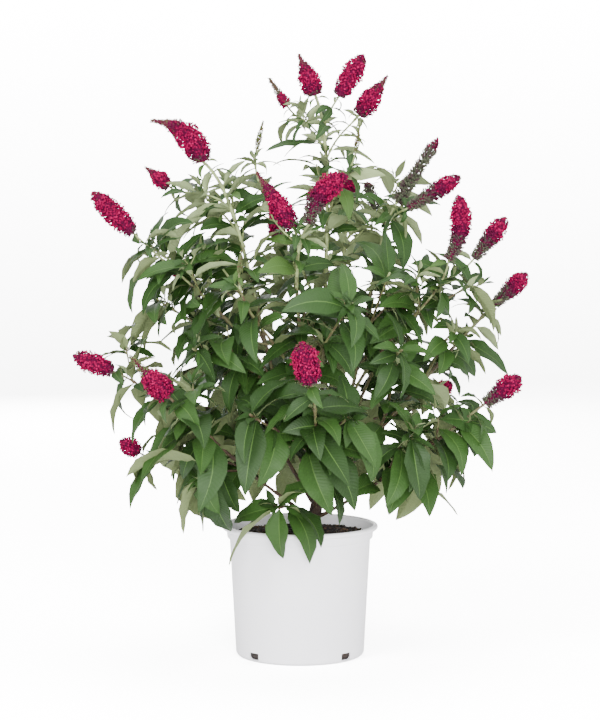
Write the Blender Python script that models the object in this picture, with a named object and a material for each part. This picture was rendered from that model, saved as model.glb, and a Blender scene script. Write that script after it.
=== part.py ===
"""A butterfly bush in a nursery pot, as a Blender script: metres, +Z up, the front is -Y.

The origin is the centre of the pot's flat underside. A short woody trunk stands on the soil. Each shoot
of the bush is one stem that leaves the trunk: its bare lower part is a bough, and its leafy upper part,
with side twigs, leaves and flower heads, is one mass of foliage. A mass keeps to its own space, which is
all that lies nearer to its own stems than to those of any other mass, and a little way past that.
"""

import math
import random
from typing import NamedTuple

import bmesh
import bpy
import numpy as np

# ---------------------------------------------------------------- driving dimensions, in metres

POT_HEIGHT = 0.236
RIM_RADIUS = 0.1395
FOOT_RADIUS = 0.115
WALL_TOP_RADIUS = 0.1265
WALL = 0.0022
FLOOR = 0.0025
COLLAR_HEIGHT = 0.024
LIP_HEIGHT = 0.0095
POT_SIDES = 40

# Steps of the pot's outline, each (out, up) from the point that its name gives.
FOOT_OUTLINE = ((-0.0080, 0.0), (-0.0022, 0.0024), (0.0, 0.0080))
COLLAR_STEP = (0.0035, 0.0030)
SHOULDER_STEP = 0.0048
LIP_OUTLINE = ((-0.0012, 0.0010), (0.0, 0.0042), (-0.0022, 0.0089), (-0.0050, 0.0095), (-0.0080, 0.0069))
LIP_INNER_STEP = (0.0024, -0.0020)
FLOOR_EDGE_STEP = (-0.006, 0.007)

SLOT_COUNT = 4
SLOT_WIDTH = 0.022
SLOT_HEIGHT = 0.0125
SLOT_SILL = 0.0045
SLOT_CUT_DEPTH = 0.020
SLOT_CUT_SET_BACK = 0.004

GAP = 0.0003
SOIL_EDGE_HEIGHT = 0.216
SOIL_TOP = 0.221
SOIL_PLATEAU = 0.058
SOIL_LUMP = 0.0016
SOIL_LUMP_WAVES = (91, 73, 57)
SOIL_UNDER_COLLAR = 0.004
SOIL_EDGE_FALL = 0.010
SOIL_SLOPE = ((0.55, 0.55), (0.25, 0.20))

TRUNK_FOOT = (0.020, 0.0, SOIL_TOP + GAP)
TRUNK_FORK = (0.042, 0.0, 0.346)
TRUNK_RADIUS = 0.0125
TRUNK_FORK_RADIUS = 0.0095
ROOT_FLARE = 0.0075
FLARE_FADE = 11
TRUNK_SIDES = 9
TRUNK_LEVELS = (0.0, 0.06, 0.16, 0.32, 0.55, 0.8, 1.0)
TRUNK_KINK = (0.0016, -0.0012, 0.0)
TRUNK_KINK_RINGS = (3, 5)
TRUNK_FOOT_RING = 0.004

STEM_ROOT_RADIUS = 0.0042
STEM_TIP_RADIUS = 0.0016
TWIG_RADIUS = 0.0013
HEAD_CORE_RADIUS = 0.0010
HEAD_CORE_SHARE = 0.35
BRANCH_STEP = 0.15
BRANCH_SHARE = 0.8
TWIG_TAPER = (1.3, 0.7)
LIMB_POINTS = 7
TWIG_RINGS = 3
BOUGH_SIDES = 5
STEM_SIDES = 3
TWIG_SIDES = 3

LEAF_WIDTH_SHARE = 0.42
LEAF_THICKNESS_SHARE = 0.028
LEAF_WIDEST_AT = 0.42
LEAF_FOLD_SHARE = 0.10
LEAF_ROOT_SUNK = 0.0055
PAIR_STEP = 0.0045
LEAF_TRIES = (1.0, 0.84, 0.74)

REACH_PAST_HALFWAY = 0.012
STEM_CLEARANCE = 0.0060
LIMB_CLEARANCE = 0.0030
LEAF_CLEARANCE = 0.0085
MASS_CLEARANCE = 0.0120
POT_CLEARANCE = 0.0040

GROWTH_SEED = 1904
FOLD_ANGLE = 50


class Head(NamedTuple):
    """A shoot's end: where it starts, its furthest point, its width, its stage, and where it forks.

    bow is how far its middle rises off a straight line, as a share of its length.
    """

    base: tuple
    tip: tuple
    width: float
    stage: str
    forks_at: float = 1.0
    bow: float = 0.0


class Shoot(NamedTuple):
    """One limb from the trunk. Its first head sits on the stem's own end, the others on side branches."""

    name: str
    level: float  # how far up the trunk it leaves, 0 at the soil and 1 at the fork
    rise: float  # degrees above level that it sets out at
    bare: float  # share of its length that carries no leaves
    heads: tuple


SHOOTS = (
    Shoot("leader", 1.00, 86, 0.17, (
        Head((0.027, 0.020, 1.000), (-0.002, 0.020, 1.072), 0.040, "fresh"),
        Head((0.069, -0.020, 0.997), (0.112, -0.020, 1.069), 0.038, "full", 0.90),
        Head((0.106, 0.060, 0.966), (0.157, 0.060, 1.036), 0.038, "fresh", 0.82),
        Head((-0.023, 0.080, 0.982), (-0.056, 0.080, 1.032), 0.024, "fading", 0.84),
        Head((0.098, -0.040, 0.900), (0.104, -0.045, 0.945), 0.009, "bud", 0.66),
        Head((-0.078, 0.060, 0.905), (-0.066, 0.062, 0.955), 0.010, "bud", 0.36),
    )),
    Shoot("front_spire", 0.80, 66, 0.26, (
        Head((0.016, -0.140, 0.775), (0.082, -0.145, 0.856), 0.042, "ripe", 1.0, 0.16),
        Head((-0.012, -0.130, 0.768), (-0.074, -0.135, 0.863), 0.036, "fresh", 0.90),
        Head((-0.104, -0.165, 0.690), (-0.100, -0.172, 0.730), 0.008, "bud", 0.30),
        Head((0.085, -0.185, 0.640), (0.092, -0.200, 0.655), 0.0, "tuft", 0.36),
    )),
    Shoot("front_low", 0.34, 48, 0.30, (
        Head((0.018, -0.295, 0.514), (0.002, -0.312, 0.584), 0.046, "full"),
        Head((-0.085, -0.225, 0.455), (-0.095, -0.240, 0.465), 0.0, "tuft", 0.42),
        Head((0.085, -0.215, 0.450), (0.097, -0.235, 0.460), 0.0, "tuft", 0.48),
    )),
    Shoot("left_low", 0.22, 28, 0.34, (
        Head((-0.226, -0.215, 0.488), (-0.286, -0.250, 0.556), 0.042, "opening"),
        Head((-0.325, -0.120, 0.520), (-0.392, -0.130, 0.548), 0.036, "full", 0.66),
        Head((-0.288, 0.010, 0.362), (-0.323, 0.010, 0.384), 0.033, "full", 0.46),
        Head((-0.168, -0.175, 0.345), (-0.190, -0.195, 0.345), 0.0, "tuft", 0.42),
    )),
    Shoot("left_upper", 0.62, 60, 0.28, (
        Head((-0.171, -0.030, 0.882), (-0.262, -0.035, 0.953), 0.046, "fresh", 1.0, 0.17),
        Head((-0.236, 0.060, 0.838), (-0.279, 0.065, 0.873), 0.030, "fresh", 0.84),
        Head((-0.291, -0.075, 0.758), (-0.362, -0.080, 0.829), 0.039, "full", 0.32),
        Head((-0.185, -0.145, 0.560), (-0.205, -0.160, 0.570), 0.0, "tuft", 0.29),
        Head((-0.255, -0.020, 0.640), (-0.275, -0.025, 0.655), 0.0, "tuft", 0.30),
        Head((-0.118, 0.020, 0.845), (-0.112, 0.022, 0.870), 0.0, "tuft", 0.60),
        Head((-0.170, -0.070, 0.735), (-0.190, -0.078, 0.755), 0.0, "tuft", 0.44),
        Head((-0.178, 0.026, 0.829), (-0.194, 0.028, 0.850), 0.0, "tuft", 0.76),
        Head((-0.264, -0.028, 0.736), (-0.276, -0.028, 0.750), 0.0, "tuft", 0.50),
    )),
    Shoot("right_upper", 0.62, 62, 0.26, (
        Head((0.174, 0.050, 0.810), (0.248, 0.055, 0.924), 0.025, "spent"),
        Head((0.192, 0.000, 0.800), (0.284, -0.005, 0.856), 0.032, "ripe", 0.92),
        Head((0.258, -0.100, 0.712), (0.272, -0.105, 0.824), 0.037, "ripe", 0.32, -0.12),
        Head((0.309, -0.010, 0.711), (0.366, -0.005, 0.783), 0.034, "ripe", 0.46),
        Head((0.155, -0.120, 0.690), (0.160, -0.135, 0.705), 0.0, "tuft", 0.40),
        Head((0.302, -0.050, 0.668), (0.318, -0.052, 0.680), 0.0, "tuft", 0.42),
    )),
    Shoot("right_mid", 0.42, 50, 0.28, (
        Head((0.347, 0.010, 0.628), (0.405, 0.010, 0.684), 0.034, "ripe"),
        Head((0.175, -0.170, 0.560), (0.190, -0.190, 0.570), 0.0, "tuft", 0.34),
        Head((0.272, -0.060, 0.585), (0.290, -0.068, 0.598), 0.0, "tuft", 0.58),
    )),
    Shoot("right_low", 0.20, 26, 0.32, (
        Head((0.321, -0.125, 0.464), (0.382, -0.130, 0.511), 0.038, "ripe"),
        Head((0.195, -0.175, 0.415), (0.220, -0.195, 0.425), 0.0, "tuft", 0.36),
        Head((0.270, 0.010, 0.400), (0.295, 0.015, 0.405), 0.0, "tuft", 0.50),
    )),
    Shoot("rim_front", 0.10, 40, 0.46, (
        Head((-0.038, -0.172, 0.288), (-0.048, -0.200, 0.288), 0.0, "tuft"),
    )),
    Shoot("back_right", 0.56, 52, 0.28, (
        Head((0.182, 0.220, 0.602), (0.205, 0.255, 0.672), 0.034, "fresh"),
        Head((0.225, 0.185, 0.430), (0.285, 0.220, 0.470), 0.034, "ripe", 0.32),
    )),
    Shoot("back_upper", 0.78, 64, 0.26, (
        Head((0.090, 0.165, 0.815), (0.096, 0.180, 0.882), 0.032, "fresh"),
        Head((0.140, 0.215, 0.795), (0.125, 0.235, 0.845), 0.024, "spent", 0.84),
        Head((-0.040, 0.250, 0.740), (-0.050, 0.290, 0.810), 0.036, "fresh", 0.36),
        Head((-0.110, 0.180, 0.690), (-0.125, 0.195, 0.735), 0.009, "bud", 0.30),
    )),
    Shoot("back_left", 0.40, 46, 0.28, (
        Head((-0.190, 0.205, 0.630), (-0.235, 0.240, 0.694), 0.036, "ripe"),
        Head((-0.240, 0.165, 0.455), (-0.300, 0.195, 0.500), 0.036, "fresh", 0.32),
    )),
    Shoot("back_low", 0.28, 42, 0.32, (
        Head((-0.010, 0.300, 0.500), (-0.015, 0.345, 0.565), 0.038, "fresh"),
        Head((0.085, 0.230, 0.400), (0.095, 0.250, 0.405), 0.0, "tuft", 0.44),
        Head((-0.085, 0.230, 0.410), (-0.095, 0.250, 0.415), 0.0, "tuft", 0.40),
    )),
)

# The shoots whose leaves may hang lower than the pot's rim.
HANG_OVER_RIM = ("rim_front",)

# A head's radius as a share of its half width, from its lowest florets to its last bud.
HEAD_OUTLINES = {
    "fresh": ((0.00, 0.60), (0.16, 0.96), (0.42, 1.00), (0.66, 0.62), (0.86, 0.24)),
    "full": ((0.00, 0.55), (0.18, 0.88), (0.46, 1.00), (0.74, 0.90), (0.93, 0.50)),
    "opening": ((0.00, 0.80), (0.20, 1.00), (0.45, 0.82), (0.64, 0.34), (0.90, 0.20)),
    "ripe": ((0.00, 0.50), (0.28, 0.70), (0.56, 0.98), (0.80, 0.94), (0.95, 0.50)),
    "fading": ((0.00, 0.70), (0.14, 1.00), (0.36, 0.70), (0.64, 0.40), (0.90, 0.24)),
    "spent": ((0.00, 0.90), (0.30, 1.00), (0.62, 0.78), (0.84, 0.86), (0.96, 0.50)),
    "bud": ((0.00, 0.70), (0.30, 1.00), (0.70, 0.62)),
}
HEAD_SIDES = 5
BUD_SIDES = 4

# Old leaves low on the bush are long and hang; young ones high up are short and stand out.
OLD_BELOW = 0.34
YOUNG_ABOVE = 0.86
LEAF_LENGTH = (0.154, 0.114)
LEAF_ANGLE = (76, 56)
LEAF_BEND = (62, 36)
NODE_SPACING = (0.078, 0.048)
END_LEAF_SHARE = 0.74
LAST_PAIR_SHARE = 0.60
LAST_PAIR_FROM = 0.90
LEAF_ROLL = 0.80
ASIDE = (0.0, 0.4, -0.4, 0.8, -0.8)
SKY_PULL = 0.90
OUTWARD_PULL = 0.62
OUTWARD_RISE = 0.06
TWIG_CHANCE = 0.15
BRANCH_BARE = 0.20
STEM_BARE_PAST_BOUGH = 0.03
LEAVES_END_AT_HEAD = 0.95
LEAVES_END_AT_TUFT = 0.98
TWIG_LENGTH = (0.045, 0.085)
TWIG_LEAF_SHARE = 0.74
TWIG_REACH = 0.80
TWIG_LIFT = 0.25
TWIG_POINTS = 8
TWIG_PAIRS_AT = (0.62, 0.97)
TUFT_PAIRS = 3
TUFT_STEP = 0.05
TUFT_LEAF_SHARE = 0.72
TUFT_GROWTH = 0.13
TUFT_PHASE = 0.4

# Where a leaf is tested for room: shares of its midrib, and shares with the margin's width there.
MIDRIB_TEST = (0.22, 0.36, 0.50, 0.64, 0.78, 0.90, 1.00)
MARGIN_TEST = ((0.20, 0.50), (LEAF_WIDEST_AT, 1.00), (0.62, 0.72), (0.80, 0.40))


# ---------------------------------------------------------------- vectors and curves


def vector(*parts):
    """A float array from three numbers or one triple."""
    return np.array(parts[0] if len(parts) == 1 else parts, float)


def unit(v):
    """v scaled to length 1."""
    return v / np.linalg.norm(v)


def across(v, axis):
    """The part of v that is square to the unit vector axis, at length 1."""
    return unit(v - axis * (v @ axis))


def mix(pair, share):
    """The value share of the way from the first of pair to the second."""
    return pair[0] + (pair[1] - pair[0]) * share


def turned(v, axis, angle):
    """v turned about the unit vector axis by angle, in radians."""
    c, s = math.cos(angle), math.sin(angle)
    return v * c + np.cross(axis, v) * s + axis * (axis @ v) * (1 - c)


def bezier(p0, p1, p2, p3, count):
    """count points, even in parameter, on a cubic curve."""
    t = np.linspace(0, 1, count)[:, None]
    return (1 - t) ** 3 * p0 + 3 * (1 - t) ** 2 * t * p1 + 3 * (1 - t) * t**2 * p2 + t**3 * p3


def lengths(path):
    """The distance along path to each of its points."""
    steps = np.linalg.norm(np.diff(path, axis=0), axis=1)
    return np.concatenate([[0.0], np.cumsum(steps)])


def point_at(path, share):
    """The point and the direction at a share of path's length."""
    run = lengths(path)
    at = share * run[-1]
    i = min(int(np.searchsorted(run, at, side="right")) - 1, len(path) - 2)
    direction = unit(path[i + 1] - path[i])
    return path[i] + direction * (at - run[i]), direction


def stretch(path, start, end, count):
    """count points on path, from one share of its length to another."""
    return np.array([point_at(path, s)[0] for s in np.linspace(start, end, count)])


# ---------------------------------------------------------------- the stems' routes

UP = vector(0, 0, 1)
STEM_POINTS = 40
STEM_CURVE_REACH = 0.36
BRANCH_CURVE_REACH = 0.42


def trunk_axis(level):
    """The point on the trunk's centre line at a level from 0 to 1."""
    return mix((vector(TRUNK_FOOT), vector(TRUNK_FORK)), level)


def stem_route(shoot):
    """A stem's centre line, from inside the trunk to the foot of its first head."""
    foot = trunk_axis(shoot.level * 0.9)
    end, tip = vector(shoot.heads[0].base), vector(shoot.heads[0].tip)
    line = end - foot
    reach = np.linalg.norm(line)
    outward = unit(vector(line[0], line[1], 0))
    rise = math.radians(shoot.rise)
    start = outward * math.cos(rise) + UP * math.sin(rise)
    first = foot + start * reach * STEM_CURVE_REACH
    last = end - unit(tip - end) * reach * STEM_CURVE_REACH * 0.5
    return bezier(foot, first, last, end, STEM_POINTS)


def branch_route(stem, head):
    """A side branch's centre line, from the stem to the foot of its own head."""
    foot, direction = point_at(stem, head.forks_at)
    end, tip = vector(head.base), vector(head.tip)
    reach = np.linalg.norm(end - foot)
    start = unit(direction + unit(end - foot))
    first = foot + start * reach * BRANCH_CURVE_REACH
    last = end - unit(tip - end) * reach * BRANCH_CURVE_REACH * 0.6
    return bezier(foot, first, last, end, STEM_POINTS // 2)


def stem_radius(shoot, share):
    """A stem's radius at a share of its length: thicker on a taller shoot."""
    size = 0.62 + 0.38 * min(1.0, (shoot.heads[0].base[2] - SOIL_TOP) / 0.45)
    return mix((STEM_ROOT_RADIUS, STEM_TIP_RADIUS), share**0.8) * size


# ---------------------------------------------------------------- each mass's own space


def head_point(head, at):
    """A point on a head's middle line, which bows up by the head's bow."""
    base, tip = vector(head.base), vector(head.tip)
    rise = across(UP, unit(tip - base)) * head.bow * np.linalg.norm(tip - base)
    return base + (tip - base) * at + rise * 4 * at * (1 - at)


def head_samples(head):
    """Points along a head's middle, each with the head's radius there."""
    outline = HEAD_OUTLINES.get(head.stage, ())
    return [(head_point(head, at), head.width / 2 * share) for at, share in outline]


def shoot_samples(shoot):
    """Points along a shoot's leafy stem, its branches and its heads, each with the radius there."""
    stem = stem_route(shoot)
    rows = [(p, stem_radius(shoot, 0.6)) for p in stretch(stem, shoot.bare, 1.0, 30)]
    for head in shoot.heads:
        rows += head_samples(head)
        if head.forks_at < 1:
            rows += [(p, TWIG_RADIUS) for p in stretch(branch_route(stem, head), 0.0, 1.0, 16)]
    return rows


def limb_samples(shoots):
    """Points along the trunk and the boughs, each with the radius there."""
    rows = [(trunk_axis(level), TRUNK_RADIUS + ROOT_FLARE) for level in np.linspace(0, 1, 12)]
    for shoot in shoots:
        stem = stem_route(shoot)
        shares = np.linspace(0, shoot.bare, 24)
        rows += [(point_at(stem, s)[0], stem_radius(shoot, s)) for s in shares]
    return rows


def nearest(points, balls):
    """Each point's distance to the nearest of the balls, which are (centres, radii)."""
    centres, radii = balls
    gaps = np.linalg.norm(points[:, None, :] - centres[None, :, :], axis=2) - radii[None, :]
    return gaps.min(axis=1)


def balls_of(rows):
    """(point, radius) rows as one array of centres and one of radii."""
    return np.array([p for p, _ in rows]), np.array([r for _, r in rows])


class Crown:
    """What stands where: the bare limbs, each mass's stems and heads, and the leaves placed so far."""

    def __init__(self, shoots):
        rows = [shoot_samples(shoot) for shoot in shoots]
        self.own = [balls_of(row) for row in rows]
        self.others = [balls_of(sum(rows[:n] + rows[n + 1 :], [])) for n in range(len(rows))]
        self.limbs = balls_of(limb_samples(shoots))
        self.blades = [np.full((1, 3), np.inf) for _ in shoots]
        self.lowest = [0.0 if shoot.name in HANG_OVER_RIM else POT_HEIGHT for shoot in shoots]

    def holds(self, points, mass, reach=REACH_PAST_HALFWAY):
        """True if the points keep to the mass's own space, clear of the limbs, stems, heads and pot.

        The space is all that lies nearer to its own stems than to others, and a little way past that.
        """
        to_others = nearest(points, self.others[mass])
        if (nearest(points, self.own[mass]) > to_others + 2 * reach).any():
            return False
        if to_others.min() < STEM_CLEARANCE or nearest(points, self.limbs).min() < LIMB_CLEARANCE:
            return False
        if points[:, 2].min() < self.lowest[mass]:
            return False
        low = points[points[:, 2] < POT_HEIGHT + POT_CLEARANCE]
        return bool((np.hypot(low[:, 0], low[:, 1]) > RIM_RADIUS + POT_CLEARANCE).all())

    def is_open(self, points, mass):
        """True if no leaf lies across the points, with more room left to the leaves of other masses."""
        for owner, blades in enumerate(self.blades):
            room = LEAF_CLEARANCE if owner == mass else MASS_CLEARANCE
            if np.linalg.norm(points[:, None, :] - blades[None, :, :], axis=2).min() < room:
                return False
        return True

    def fill(self, points, mass):
        """Takes up the points with a leaf of the mass."""
        self.blades[mass] = np.vstack([self.blades[mass], points])


# ---------------------------------------------------------------- the rule that leaves grow by


class Leaf(NamedTuple):
    """A leaf's root on its stem, the stem's direction there, and the arc that its midrib bends along."""

    root: np.ndarray
    stem: np.ndarray
    along: np.ndarray
    belly: np.ndarray
    length: float
    bend: float


def midrib(leaf, share):
    """The midrib is an arc of a circle that turns from along towards belly by bend."""
    a = leaf.bend * share
    return leaf.root + leaf.length / leaf.bend * (math.sin(a) * leaf.along + (1 - math.cos(a)) * leaf.belly)


def leaf_face(leaf, share):
    """The direction that the leaf's upper side faces at a share of its length."""
    a = leaf.bend * share
    return math.sin(a) * leaf.along - math.cos(a) * leaf.belly


def leaf_outline(leaf):
    """Points on the midrib and along both margins, for testing where the leaf lies."""
    side = np.cross(leaf.along, leaf.belly)
    half = leaf.length * LEAF_WIDTH_SHARE / 2
    points = [midrib(leaf, s) for s in MIDRIB_TEST]
    for share, width in MARGIN_TEST:
        for sign in (-1, 1):
            rise = leaf_face(leaf, share) * LEAF_FOLD_SHARE * 2 * half * width
            points.append(midrib(leaf, share) + side * sign * half * width + rise)
    return np.array(points)


def youth(place):
    """0 for a place among the oldest leaves, low on the bush, and 1 among the youngest, at its top."""
    return min(1.0, max(0.0, (place[2] - OLD_BELOW) / (YOUNG_ABOVE - OLD_BELOW)))


def leaf_on(root, stem, outward, length, angle, bend, roll):
    """A leaf that leaves its stem at an angle, its upper side to the sky and out of the crown."""
    along = stem * math.cos(angle) + outward * math.sin(angle)
    crown_out = unit(vector(root[0], root[1], OUTWARD_RISE))
    sky = UP * SKY_PULL + crown_out * OUTWARD_PULL + np.cross(along, UP) * roll
    return Leaf(root, stem, along, -across(sky, along), length, bend)


def fitted(tries, crown, mass):
    """The first of the tries that can be kept in the mass's space, made shorter if it has to be, or None."""
    for share in LEAF_TRIES:
        for leaf in tries:
            tried = leaf._replace(length=leaf.length * share)
            outline = leaf_outline(tried)
            if crown.holds(outline, mass) and crown.is_open(outline, mass):
                crown.fill(outline, mass)
                return tried
    return None


def leaf_pair(path, share, phase, size, crown, mass, chance):
    """Two leaves facing each other across a stem, each with its own small change of size and angle."""
    root, stem = point_at(path, share)
    first = across(vector(0.31, 0.17, 0.94), stem)
    age = youth(root)
    pair = []
    for side in (0, 1):
        turn = phase + side * math.pi + chance.uniform(-0.25, 0.25)
        length = mix(LEAF_LENGTH, age) * size * chance.uniform(0.86, 1.12)
        angle = math.radians(mix(LEAF_ANGLE, age) + chance.uniform(-10, 10))
        bend = math.radians(mix(LEAF_BEND, age) * chance.uniform(0.6, 1.3))
        roll = chance.uniform(-LEAF_ROLL, LEAF_ROLL)
        foot = root - stem * PAIR_STEP * side
        tries = [leaf_on(foot, stem, turned(first, stem, turn + aside), length, angle, bend, roll) for aside in ASIDE]
        pair.append(fitted(tries, crown, mass))
    return [leaf for leaf in pair if leaf is not None]


def leaves_along(path, start, end, crown, mass, chance):
    """Pairs of leaves up a stem, each pair turned a quarter from the last, and the places of the pairs."""
    total = lengths(path)[-1]
    at, phase, leaves, nodes = start * total, chance.uniform(0, math.pi), [], []
    while at < end * total:
        up = (at / total - start) / (end - start)
        size = mix((1.0, END_LEAF_SHARE), up) * (LAST_PAIR_SHARE if up > LAST_PAIR_FROM else 1.0)
        leaves += leaf_pair(path, at / total, phase, size, crown, mass, chance)
        nodes.append((at / total, phase))
        phase += math.pi / 2 + chance.uniform(-0.2, 0.2)
        at += mix(NODE_SPACING, up) * chance.uniform(0.88, 1.12)
    return leaves, nodes


def twig_route(path, share, phase, length):
    """A side twig from a leaf's axil: it sets out at 45 degrees and turns up."""
    root, stem = point_at(path, share)
    outward = turned(across(vector(0.31, 0.17, 0.94), stem), stem, phase)
    start = unit(stem + outward)
    end = root + start * length * TWIG_REACH + UP * length * TWIG_LIFT
    return bezier(root, root + start * length * 0.3, end - UP * length * 0.2, end, TWIG_POINTS)


def tuft(path, crown, mass, chance):
    """The close whorl of leaves that a shoot without a flower head ends in."""
    leaves = []
    for number in range(TUFT_PAIRS):
        share, size = LEAVES_END_AT_TUFT - TUFT_STEP * number, TUFT_LEAF_SHARE + TUFT_GROWTH * number
        phase = TUFT_PHASE + number * math.pi / 2
        leaves += leaf_pair(path, share, phase, size, crown, mass, chance)
    return leaves


def twigs_along(path, nodes, crown, mass, chance):
    """Short side twigs from some of the axils, each ending in two pairs of small leaves."""
    twigs, leaves = [], []
    for share, phase in nodes:
        for side in (0, math.pi):
            if chance.random() > TWIG_CHANCE:
                continue
            route = twig_route(path, share, phase + side + 0.2, chance.uniform(*TWIG_LENGTH))
            if not crown.holds(route[3:], mass, 0.0) or not crown.is_open(route[3:], mass):
                continue
            twigs.append(route)
            for step, place in enumerate(TWIG_PAIRS_AT):
                turn = phase + step * math.pi / 2
                leaves += leaf_pair(route, place, turn, TWIG_LEAF_SHARE, crown, mass, chance)
    return twigs, leaves


class Growth(NamedTuple):
    """All that one mass is made of."""

    stem: np.ndarray
    branches: list
    twigs: list
    leaves: list


def grow(shoot, mass, crown):
    """The mass of one shoot, by the seeded rule."""
    chance = random.Random(GROWTH_SEED + mass)
    stem = stem_route(shoot)
    branches = [branch_route(stem, head) for head in shoot.heads[1:]]
    growth = Growth(stem, branches, [], [])
    for path, head in zip([stem, *branches], shoot.heads):
        start = shoot.bare + STEM_BARE_PAST_BOUGH if path is stem else BRANCH_BARE
        end = LEAVES_END_AT_TUFT if head.stage == "tuft" else LEAVES_END_AT_HEAD
        leaves, nodes = leaves_along(path, start, end, crown, mass, chance)
        if head.stage == "tuft":
            leaves += tuft(path, crown, mass, chance)
        twigs, small = twigs_along(path, nodes, crown, mass, chance)
        growth.leaves.extend(leaves + small)
        growth.twigs.extend(twigs)
    return growth


# ---------------------------------------------------------------- meshes and objects


def material(name, colour, roughness, metallic=0.0):
    """A plain Principled material."""
    made = bpy.data.materials.new(name)
    made.use_nodes = True
    shader = made.node_tree.nodes["Principled BSDF"]
    shader.inputs["Base Color"].default_value = (*colour, 1.0)
    shader.inputs["Roughness"].default_value = roughness
    shader.inputs["Metallic"].default_value = metallic
    made.diffuse_color = (*colour, 1.0)
    return made


def add_object(name, bm, finish=None, collection=None):
    """An object from a bmesh, which is used up."""
    mesh = bpy.data.meshes.new(name)
    bmesh.ops.recalc_face_normals(bm, faces=bm.faces)
    bm.to_mesh(mesh)
    bm.free()
    obj = bpy.data.objects.new(name, mesh)
    if finish:
        mesh.materials.append(finish)
    (collection or bpy.context.scene.collection).objects.link(obj)
    return obj


def smooth(obj, angle=35):
    """Shades an object smooth up to an edge angle in degrees."""
    obj.data.shade_smooth()
    obj.data.set_sharp_from_angle(angle=math.radians(angle))


def turned_solid(profile, sides):
    """A closed solid of revolution about Z, from (radius, height) pairs that start and end on the axis."""
    bm = bmesh.new()
    points = [bm.verts.new((radius, 0.0, height)) for radius, height in profile]
    edges = [bm.edges.new(pair) for pair in zip(points, points[1:])]
    bmesh.ops.spin(
        bm,
        geom=points + edges,
        cent=(0, 0, 0),
        axis=(0, 0, 1),
        angle=math.tau,
        steps=sides,
        use_duplicate=False,
    )
    bmesh.ops.remove_doubles(bm, verts=bm.verts, dist=1e-5)
    return bm


def sweep(path, radii, sides, pointed=False):
    """A closed tube along path, with a flat cap at its foot and a cap or a point at its end."""
    bm = bmesh.new()
    heading = unit(path[1] - path[0])
    side = across(vector(0.31, 0.94, 0.17), heading)
    rings = []
    for i, centre in enumerate(path):
        heading = unit(path[min(i + 1, len(path) - 1)] - path[max(i - 1, 0)])
        side = across(side, heading)
        other = np.cross(heading, side)
        ring = []
        for k in range(sides):
            angle = math.tau * k / sides
            offset = side * math.cos(angle) + other * math.sin(angle)
            ring.append(bm.verts.new(centre + offset * radii[i]))
        rings.append(ring)
    if pointed:
        peak = bm.verts.new(path[-1] + heading * radii[-1])
        for k in range(sides):
            bm.faces.new((rings[-1][k], rings[-1][(k + 1) % sides], peak))
    else:
        bm.faces.new(rings[-1])
    bm.faces.new(rings[0][::-1])
    for lower, upper in zip(rings, rings[1:]):
        for k in range(sides):
            n = (k + 1) % sides
            bm.faces.new((lower[k], lower[n], upper[n], upper[k]))
    return bm


def leaf_solid(leaf):
    """A leaf of eight faces: its root sunk in the stem, two margins raised in a fold, and its tip."""
    half = leaf.length * LEAF_WIDTH_SHARE / 2
    thick = leaf.length * LEAF_THICKNESS_SHARE / 2
    side = np.cross(leaf.along, leaf.belly)
    face = leaf_face(leaf, LEAF_WIDEST_AT)
    middle = midrib(leaf, LEAF_WIDEST_AT)
    rise = face * LEAF_FOLD_SHARE * 2 * half
    corners = (
        leaf.root - leaf.stem * LEAF_ROOT_SUNK,
        middle - side * half + rise,
        midrib(leaf, 1.0),
        middle + side * half + rise,
        middle + face * thick,
        middle - face * thick,
    )
    bm = bmesh.new()
    root, left, tip, right, top, under = (bm.verts.new(c) for c in corners)
    rim = (root, left, tip, right)
    for k in range(4):
        bm.faces.new((rim[k], rim[(k + 1) % 4], top))
        bm.faces.new((rim[(k + 1) % 4], rim[k], under))
    return bm


def head_core(head):
    """The point inside a flower head that its stem runs up to, or none for a tuft."""
    if head.stage == "tuft":
        return []
    return [head_point(head, HEAD_CORE_SHARE)]


def head_solid(head, chance):
    """A flower head: a lumpy spindle of rings, pointed at its last bud."""
    outline = HEAD_OUTLINES[head.stage]
    path = np.array([head_point(head, at) for at, _ in outline])
    radii = [head.width / 2 * share * chance.uniform(0.94, 1.06) for _, share in outline]
    return sweep(path, radii, BUD_SIDES if head.stage == "bud" else HEAD_SIDES, pointed=True)


# ---------------------------------------------------------------- the pot, its soil and the woody parts


def hide_cutter(cutter):
    """Keeps a cutter out of the render, and shows it as wires."""
    cutter.hide_render = True
    cutter.display_type = "WIRE"


def inner_wall(clearance=0.0):
    """The inside of the pot's wall, from its floor to under the collar, less a clearance."""
    back = WALL + clearance
    return [
        (FOOT_RADIUS - back + FLOOR_EDGE_STEP[0], FLOOR + clearance),
        (FOOT_RADIUS - back, FLOOR + FLOOR_EDGE_STEP[1] + clearance),
        (WALL_TOP_RADIUS - back, POT_HEIGHT - COLLAR_HEIGHT - clearance),
    ]


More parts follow.
